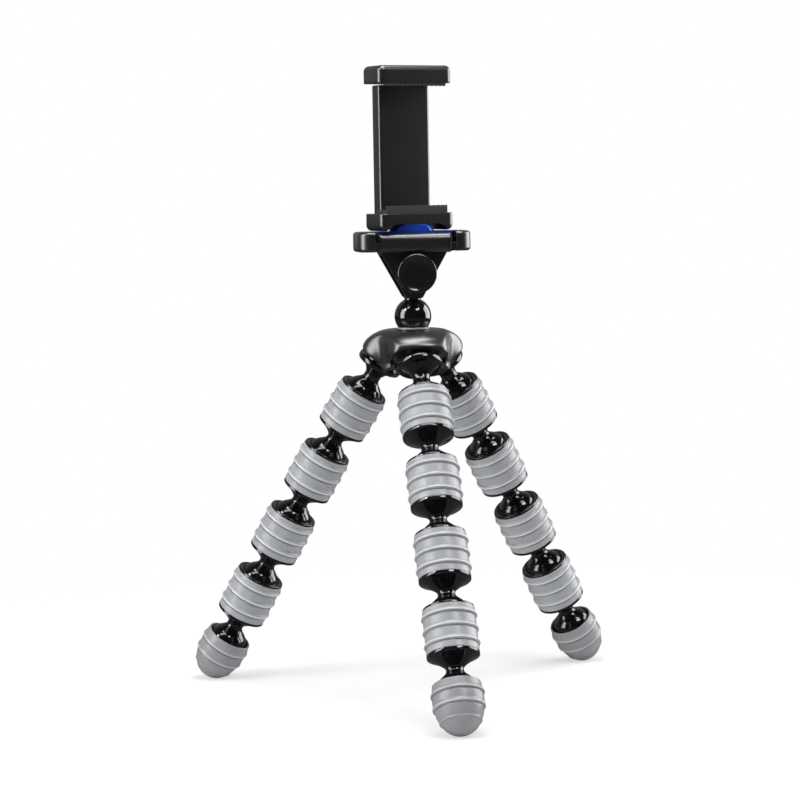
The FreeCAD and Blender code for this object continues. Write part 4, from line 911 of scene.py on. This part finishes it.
class TRIPOD_OT_ball_head(Operator):
    """Head ball and the stem that is screwed into it"""

    bl_idname = "tripod.ball_head"
    bl_label = "Ball head"

    def execute(self, context):
        head = context.scene.tripod_head
        radius = mm(head.head_ball_radius)
        cavity, bolt, stem, shank = radius - 2.3, 1.75, 3.85, 3.2
        flat = math.sqrt(radius ** 2 - stem ** 2)
        open_in = -70.0 + math.degrees(math.asin(bolt / cavity))
        open_out = -69.0 + math.degrees(math.asin(bolt / radius))
        profile = outline([
            arc(0.0, radius, open_out, math.degrees(math.acos(stem / radius)), 90),
            (shank, flat, 0.1),
            arc(0.0, cavity, math.degrees(math.acos(shank / cavity)), open_in, 50),
        ])
        mesh = turned("head_round_ball", profile, joint_place("tilt"), np.eye(3))
        place(mesh, "head", "head_ball", "black_metal")
        place_copy("head_tongue_stem", "head", "head_stem", "black_metal", 0.3)
        return {"FINISHED"}


def knob_profile(head):
    """Bolt's bore, side, rounded front edge and the dish: z = H - d (1 - (r / R)^4)."""
    radius, height, rounding = mm(head.knob_radius), mm(head.knob_height), mm(head.knob_round)
    bore, bore_h, back_edge, dish_r, dish = 2.55, height - 1.55, 0.4, 8.1, 1.1
    r = np.linspace(dish_r, 0.0, 40)
    hollow = np.stack([r, height - dish * (1 - (r / dish_r) ** 4)], axis=1)
    a = np.radians(np.linspace(0.0, 90.0, 22))
    edge_r = radius - rounding + rounding * np.cos(a)
    edge = np.stack([edge_r, height - rounding + rounding * np.sin(a)], axis=1)
    return outline([
        np.array([[0.0, bore_h]]), (bore, bore_h, 0.1), (bore, 0.0, 0.2), (radius - back_edge, 0.0, 0.2),
        (radius, back_edge, 0.2), edge, hollow])


class TRIPOD_OT_yoke(Operator):
    """V-shaped yoke, its hinge bolt and the round knob"""

    bl_idname = "tripod.yoke"
    bl_label = "Yoke and knob"

    def execute(self, context):
        place_copy("yoke_fork", "yoke", "yoke", "satin_black", 0.2)
        place_copy("tilt_cap_bolt", "yoke", "tilt_bolt", "screw_steel", 0.15)
        centre = joint_place("roll")
        back = node_box("tilt_knob")[1][1]
        origin = np.array([centre[0], back, centre[2]])
        axes = axes_along(np.array([0.0, -1.0, 0.0]), np.array([1.0, 0.0, 0.0]))
        mesh = turned("tilt_round_knob", knob_profile(context.scene.tripod_head), origin, axes)
        place(mesh, "tilt_knob", "tilt_knob", "satin_black", "knob_black")
        return {"FINISHED"}


def release_bar(head):
    """Bar across the tray's front, with a rounded front face, and its two guide ears in the tray."""
    low, high = node_box("release_button")
    tray_low = node_box("platform_tray")[0][2]
    corner, ear_corner, ear_round = 2.2 * MM, 0.3 * MM, 0.2 * MM
    overlap, ear_half, ear_low_rise, ear_high_rise = 1.0 * MM, 0.7 * MM, 3.2 * MM, 6.2 * MM
    reach = (high[0] - low[0]) / 2 - head.ear_reach
    bar_low, bar_high = np.array([-reach, low[1], low[2]]), np.array([reach, high[1], high[2]])
    parts = [mesh_from_grid("bar", cushion_block(bar_low, bar_high, corner, head.bar_round), False)]
    y = (low[1] + high[1]) / 2
    for side in (-1.0, 1.0):
        x = sorted((side * (reach - overlap), side * (reach + head.ear_reach)))
        ear_low = np.array([x[0], y - ear_half, tray_low + ear_low_rise])
        ear_high = np.array([x[1], y + ear_half, tray_low + ear_high_rise])
        parts.append(mesh_from_grid("ear", cushion_block(ear_low, ear_high, ear_corner, ear_round, 3), False))
    return joined("release_front_bar", parts)


class TRIPOD_OT_platform(Operator):
    """Platform tray with its lobes and the release button across its front"""

    bl_idname = "tripod.platform"
    bl_label = "Platform"

    def execute(self, context):
        head = context.scene.tripod_head
        soft = mm(head.edge_soft)
        place_copy("platform_lobed_tray", "yoke", "platform_tray", "satin_black", soft)
        place(release_bar(head), "release_button", "release_button", "satin_black")
        place_copy("quick_release_plate", "plate", "camera_plate", "satin_black", soft)
        place_copy("plate_domed_pad", "plate", "plate_pad", "blue_pad", 0.2)
        dress("camera_screw", "screw_steel")
        return {"FINISHED"}


class TRIPOD_OT_clamp(Operator):
    """Lower jaw with its upright, the pads and the sliding upper jaw"""

    bl_idname = "tripod.clamp"
    bl_label = "Clamp"

    def execute(self, context):
        head = context.scene.tripod_head
        soft, pad = mm(head.edge_soft), mm(head.pad_soft)
        place_copy("clamp_jaw_frame", "clamp", "clamp_frame", "satin_black", soft)
        place_copy("clamp_rear_cover", "clamp", "clamp_back_cover", "satin_black", soft)
        place_copy("clamp_lower_rubber", "clamp", "lower_pad", "dark_rubber", pad)
        place_copy("clamp_sliding_jaw", "upper_jaw", "upper_jaw", "satin_black", soft)
        place_copy("clamp_upper_rubber", "upper_jaw", "upper_pad", "dark_rubber", pad)
        place_copy("clamp_twin_rods", "upper_jaw", "guide_rods", "brushed_steel", 0.2)
        return {"FINISHED"}


class TRIPOD_OT_inner_parts(Operator):
    """Finishes of the screws, springs, washers and the insert, which keep the part's own shapes"""

    bl_idname = "tripod.inner_parts"
    bl_label = "Inner parts"

    def execute(self, context):
        for node, slot in (
            ("hub_screws", "screw_steel"), ("swivel_bolt", "screw_steel"), ("clamp_screws", "screw_steel"),
            ("swivel_washer", "brushed_steel"), ("spring_washers", "brushed_steel"),
            ("release_spring", "brushed_steel"), ("clamp_springs", "brushed_steel"),
            ("clamp_insert", "brass_insert"),
        ):
            dress(node, slot)
        return {"FINISHED"}


# Stage

def aimed(location, target):
    """Rotation that turns a lamp's -Z from its place to a target."""
    return (Vector(target) - Vector(location)).to_track_quat("-Z", "Y").to_euler()


def add_lamp(name, location, target, width, height, power):
    lamp = bpy.data.lights.new(name, "AREA")
    lamp.shape = "RECTANGLE"
    lamp.size, lamp.size_y = width, height
    lamp.energy = power
    obj = new_object(name, lamp)
    obj.location = location
    obj.rotation_euler = aimed(location, target)


def studio_air(level):
    """World: white where it is seen, a dim fade towards the back where it is mirrored, even for the rest."""
    world = bpy.data.worlds.new("studio_air")
    world.use_nodes = True
    bpy.context.scene.world = world
    t = TreeNodes(world.node_tree, "Generated")
    path = t.add("ShaderNodeLightPath").outputs
    seen = t.tree.nodes["Background"]
    t.fill(seen, {"Color": (1.0, 1.0, 1.0, 1.0), "Strength": 1.0})
    backward = t.add("ShaderNodeSeparateXYZ", {0: t.coordinates}).outputs["Y"]
    mirrored = t.add("ShaderNodeBackground", {"Strength": t.between(backward, 0.15, 0.75, 0.02, 0.25)})
    even = t.add("ShaderNodeBackground", {"Strength": level})
    glossy = t.math("MAXIMUM", path["Is Glossy Ray"], path["Is Transmission Ray"])
    air = t.mixed(glossy, even.outputs[0], mirrored.outputs[0])
    air = t.mixed(path["Is Camera Ray"], air, seen.outputs[0])
    t.fill(t.tree.nodes["World Output"], {"Surface": air})


def floor_finish(floor_colour, near, far):
    """Pale matte floor that keeps the stand's shadow and turns into the white background further out."""
    f = FinishNodes("studio_floor")
    cloud = f.noise(1.2, 3.0, 0.5)
    base = f.blend(cloud, scaled(floor_colour, 0.995), scaled(floor_colour, 1.005))
    rough = f.wander(f.noise(3.0), 0.78, 0.86)
    material = f.done(base, rough, f.bump(f.noise(60.0), 0.01, 0.0002), specular=0.2)
    length_node = f.add("ShaderNodeVectorMath", {0: f.coordinates})
    length_node.operation = "LENGTH"
    distance = length_node.outputs["Value"]
    path = f.add("ShaderNodeLightPath").outputs
    seen = f.math("MAXIMUM", path["Is Camera Ray"], path["Is Glossy Ray"])
    seen = f.math("MAXIMUM", seen, path["Is Transmission Ray"])
    white_share = f.math("MULTIPLY", f.between(distance, near, far, 0.55, 1.0), seen)
    white = f.add("ShaderNodeEmission", {"Color": (1.0, 1.0, 1.0, 1.0)})
    mirrored = f.add("ShaderNodeEmission", {"Strength": f.between(distance, near, 0.9, 0.12, 0.03)})
    floor = f.mixed(white_share, f.shader.outputs[0], white.outputs[0])
    floor = f.mixed(path["Is Glossy Ray"], floor, mirrored.outputs[0])
    f.fill(f.tree.nodes["Material Output"], {"Surface": floor})
    return material


class TRIPOD_OT_stage(Operator):
    """Pale floor, soft lamps, even air and the camera"""

    bl_idname = "tripod.stage"
    bl_label = "Floor, light and camera"

    def execute(self, context):
        light = context.scene.tripod_light
        reach, shadow_near, shadow_far = 6.0, 0.17, 0.42
        corners = [(x * reach, y * reach, 0.0) for x, y in ((-1, -1), (1, -1), (1, 1), (-1, 1))]
        mesh = bpy.data.meshes.new("studio_floor")
        mesh.from_pydata(corners, [], [(0, 1, 2, 3)])
        floor = new_object("studio_floor", mesh)
        floor_white = context.scene.tripod_colours.floor_white
        mesh.materials.append(floor_finish(floor_white, shadow_near, shadow_far))
        middle = (0.0, 0.02, 0.16)
        add_lamp("left_high_lamp", (-1.10, -0.38, 1.12), middle, 0.26, 0.26, light.key_power)
        add_lamp("right_high_lamp", (0.58, -1.0, 1.33), middle, 0.6, 0.3, light.fill_power)
        add_lamp("front_softbox", (-0.10, -0.78, 1.75), middle, 2.0, 0.34, light.front_power)
        add_lamp("top_lamp", (0.02, 0.0, 1.1), middle, 0.7, 0.4, light.top_power)
        add_lamp("left_softbox", (-1.0, -0.16, 0.34), middle, 0.50, 1.0, light.left_power)
        add_lamp("right_softbox", (0.98, 0.20, 0.34), middle, 0.80, 1.0, light.right_power)
        studio_air(light.air)
        camera = bpy.data.cameras.new("photo_camera")
        camera.lens = light.camera_lens
        camera.sensor_width = 36.0
        camera.clip_end = 50.0
        obj = new_object("photo_camera", camera)
        forward = Vector((0.15889, 0.98362, -0.08516)).normalized()
        side = Vector((0.9868, -0.1609, -0.0178))
        side = (side - forward * side.dot(forward)).normalized()
        turn = Matrix((side, side.cross(forward), -forward)).transposed().to_4x4()
        obj.matrix_world = Matrix.Translation(Vector(light.camera_place)) @ turn
        context.scene.camera = obj
        context.scene.view_settings.view_transform = "Standard"
        return {"FINISHED"}


STEPS = (
    TRIPOD_OT_sleeves, TRIPOD_OT_shells, TRIPOD_OT_feet, TRIPOD_OT_root_balls, TRIPOD_OT_hub,
    TRIPOD_OT_ball_head, TRIPOD_OT_yoke, TRIPOD_OT_platform, TRIPOD_OT_clamp, TRIPOD_OT_inner_parts,
    TRIPOD_OT_stage,
)
GROUPS = {
    "tripod_legs": TripodLegSizes,
    "tripod_head": TripodHeadSizes,
    "tripod_hub": TripodHubSizes,
    "tripod_colours": TripodColours,
    "tripod_light": TripodLight,
}


class TRIPOD_PT_looks(Panel):
    """Buttons for every group of pieces, with the sizes and colours they use"""

    bl_idname = "TRIPOD_PT_looks"
    bl_label = "Flexible tripod"
    bl_space_type = "VIEW_3D"
    bl_region_type = "UI"
    bl_category = "Tripod"

    def draw(self, context):
        layout = self.layout
        for step in STEPS:
            layout.operator(step.bl_idname)
        for name, group in GROUPS.items():
            column = layout.box().column()
            settings = getattr(context.scene, name)
            for key in group.__annotations__:
                column.prop(settings, key)


def register():
    for group in GROUPS.values():
        bpy.utils.register_class(group)
    for name, group in GROUPS.items():
        setattr(bpy.types.Scene, name, PointerProperty(type=group))
    for step in STEPS:
        bpy.utils.register_class(step)
    bpy.utils.register_class(TRIPOD_PT_looks)


def unregister():
    bpy.utils.unregister_class(TRIPOD_PT_looks)
    for step in reversed(STEPS):
        bpy.utils.unregister_class(step)
    for name, group in GROUPS.items():
        delattr(bpy.types.Scene, name)
        bpy.utils.unregister_class(group)


def main():
    register()
    bpy.ops.tripod.sleeves()
    bpy.ops.tripod.shells()
    bpy.ops.tripod.feet()
    bpy.ops.tripod.root_balls()
    bpy.ops.tripod.hub()
    bpy.ops.tripod.ball_head()
    bpy.ops.tripod.yoke()
    bpy.ops.tripod.platform()
    bpy.ops.tripod.clamp()
    bpy.ops.tripod.inner_parts()
    bpy.ops.tripod.stage()


if __name__ == "__main__":
    main()
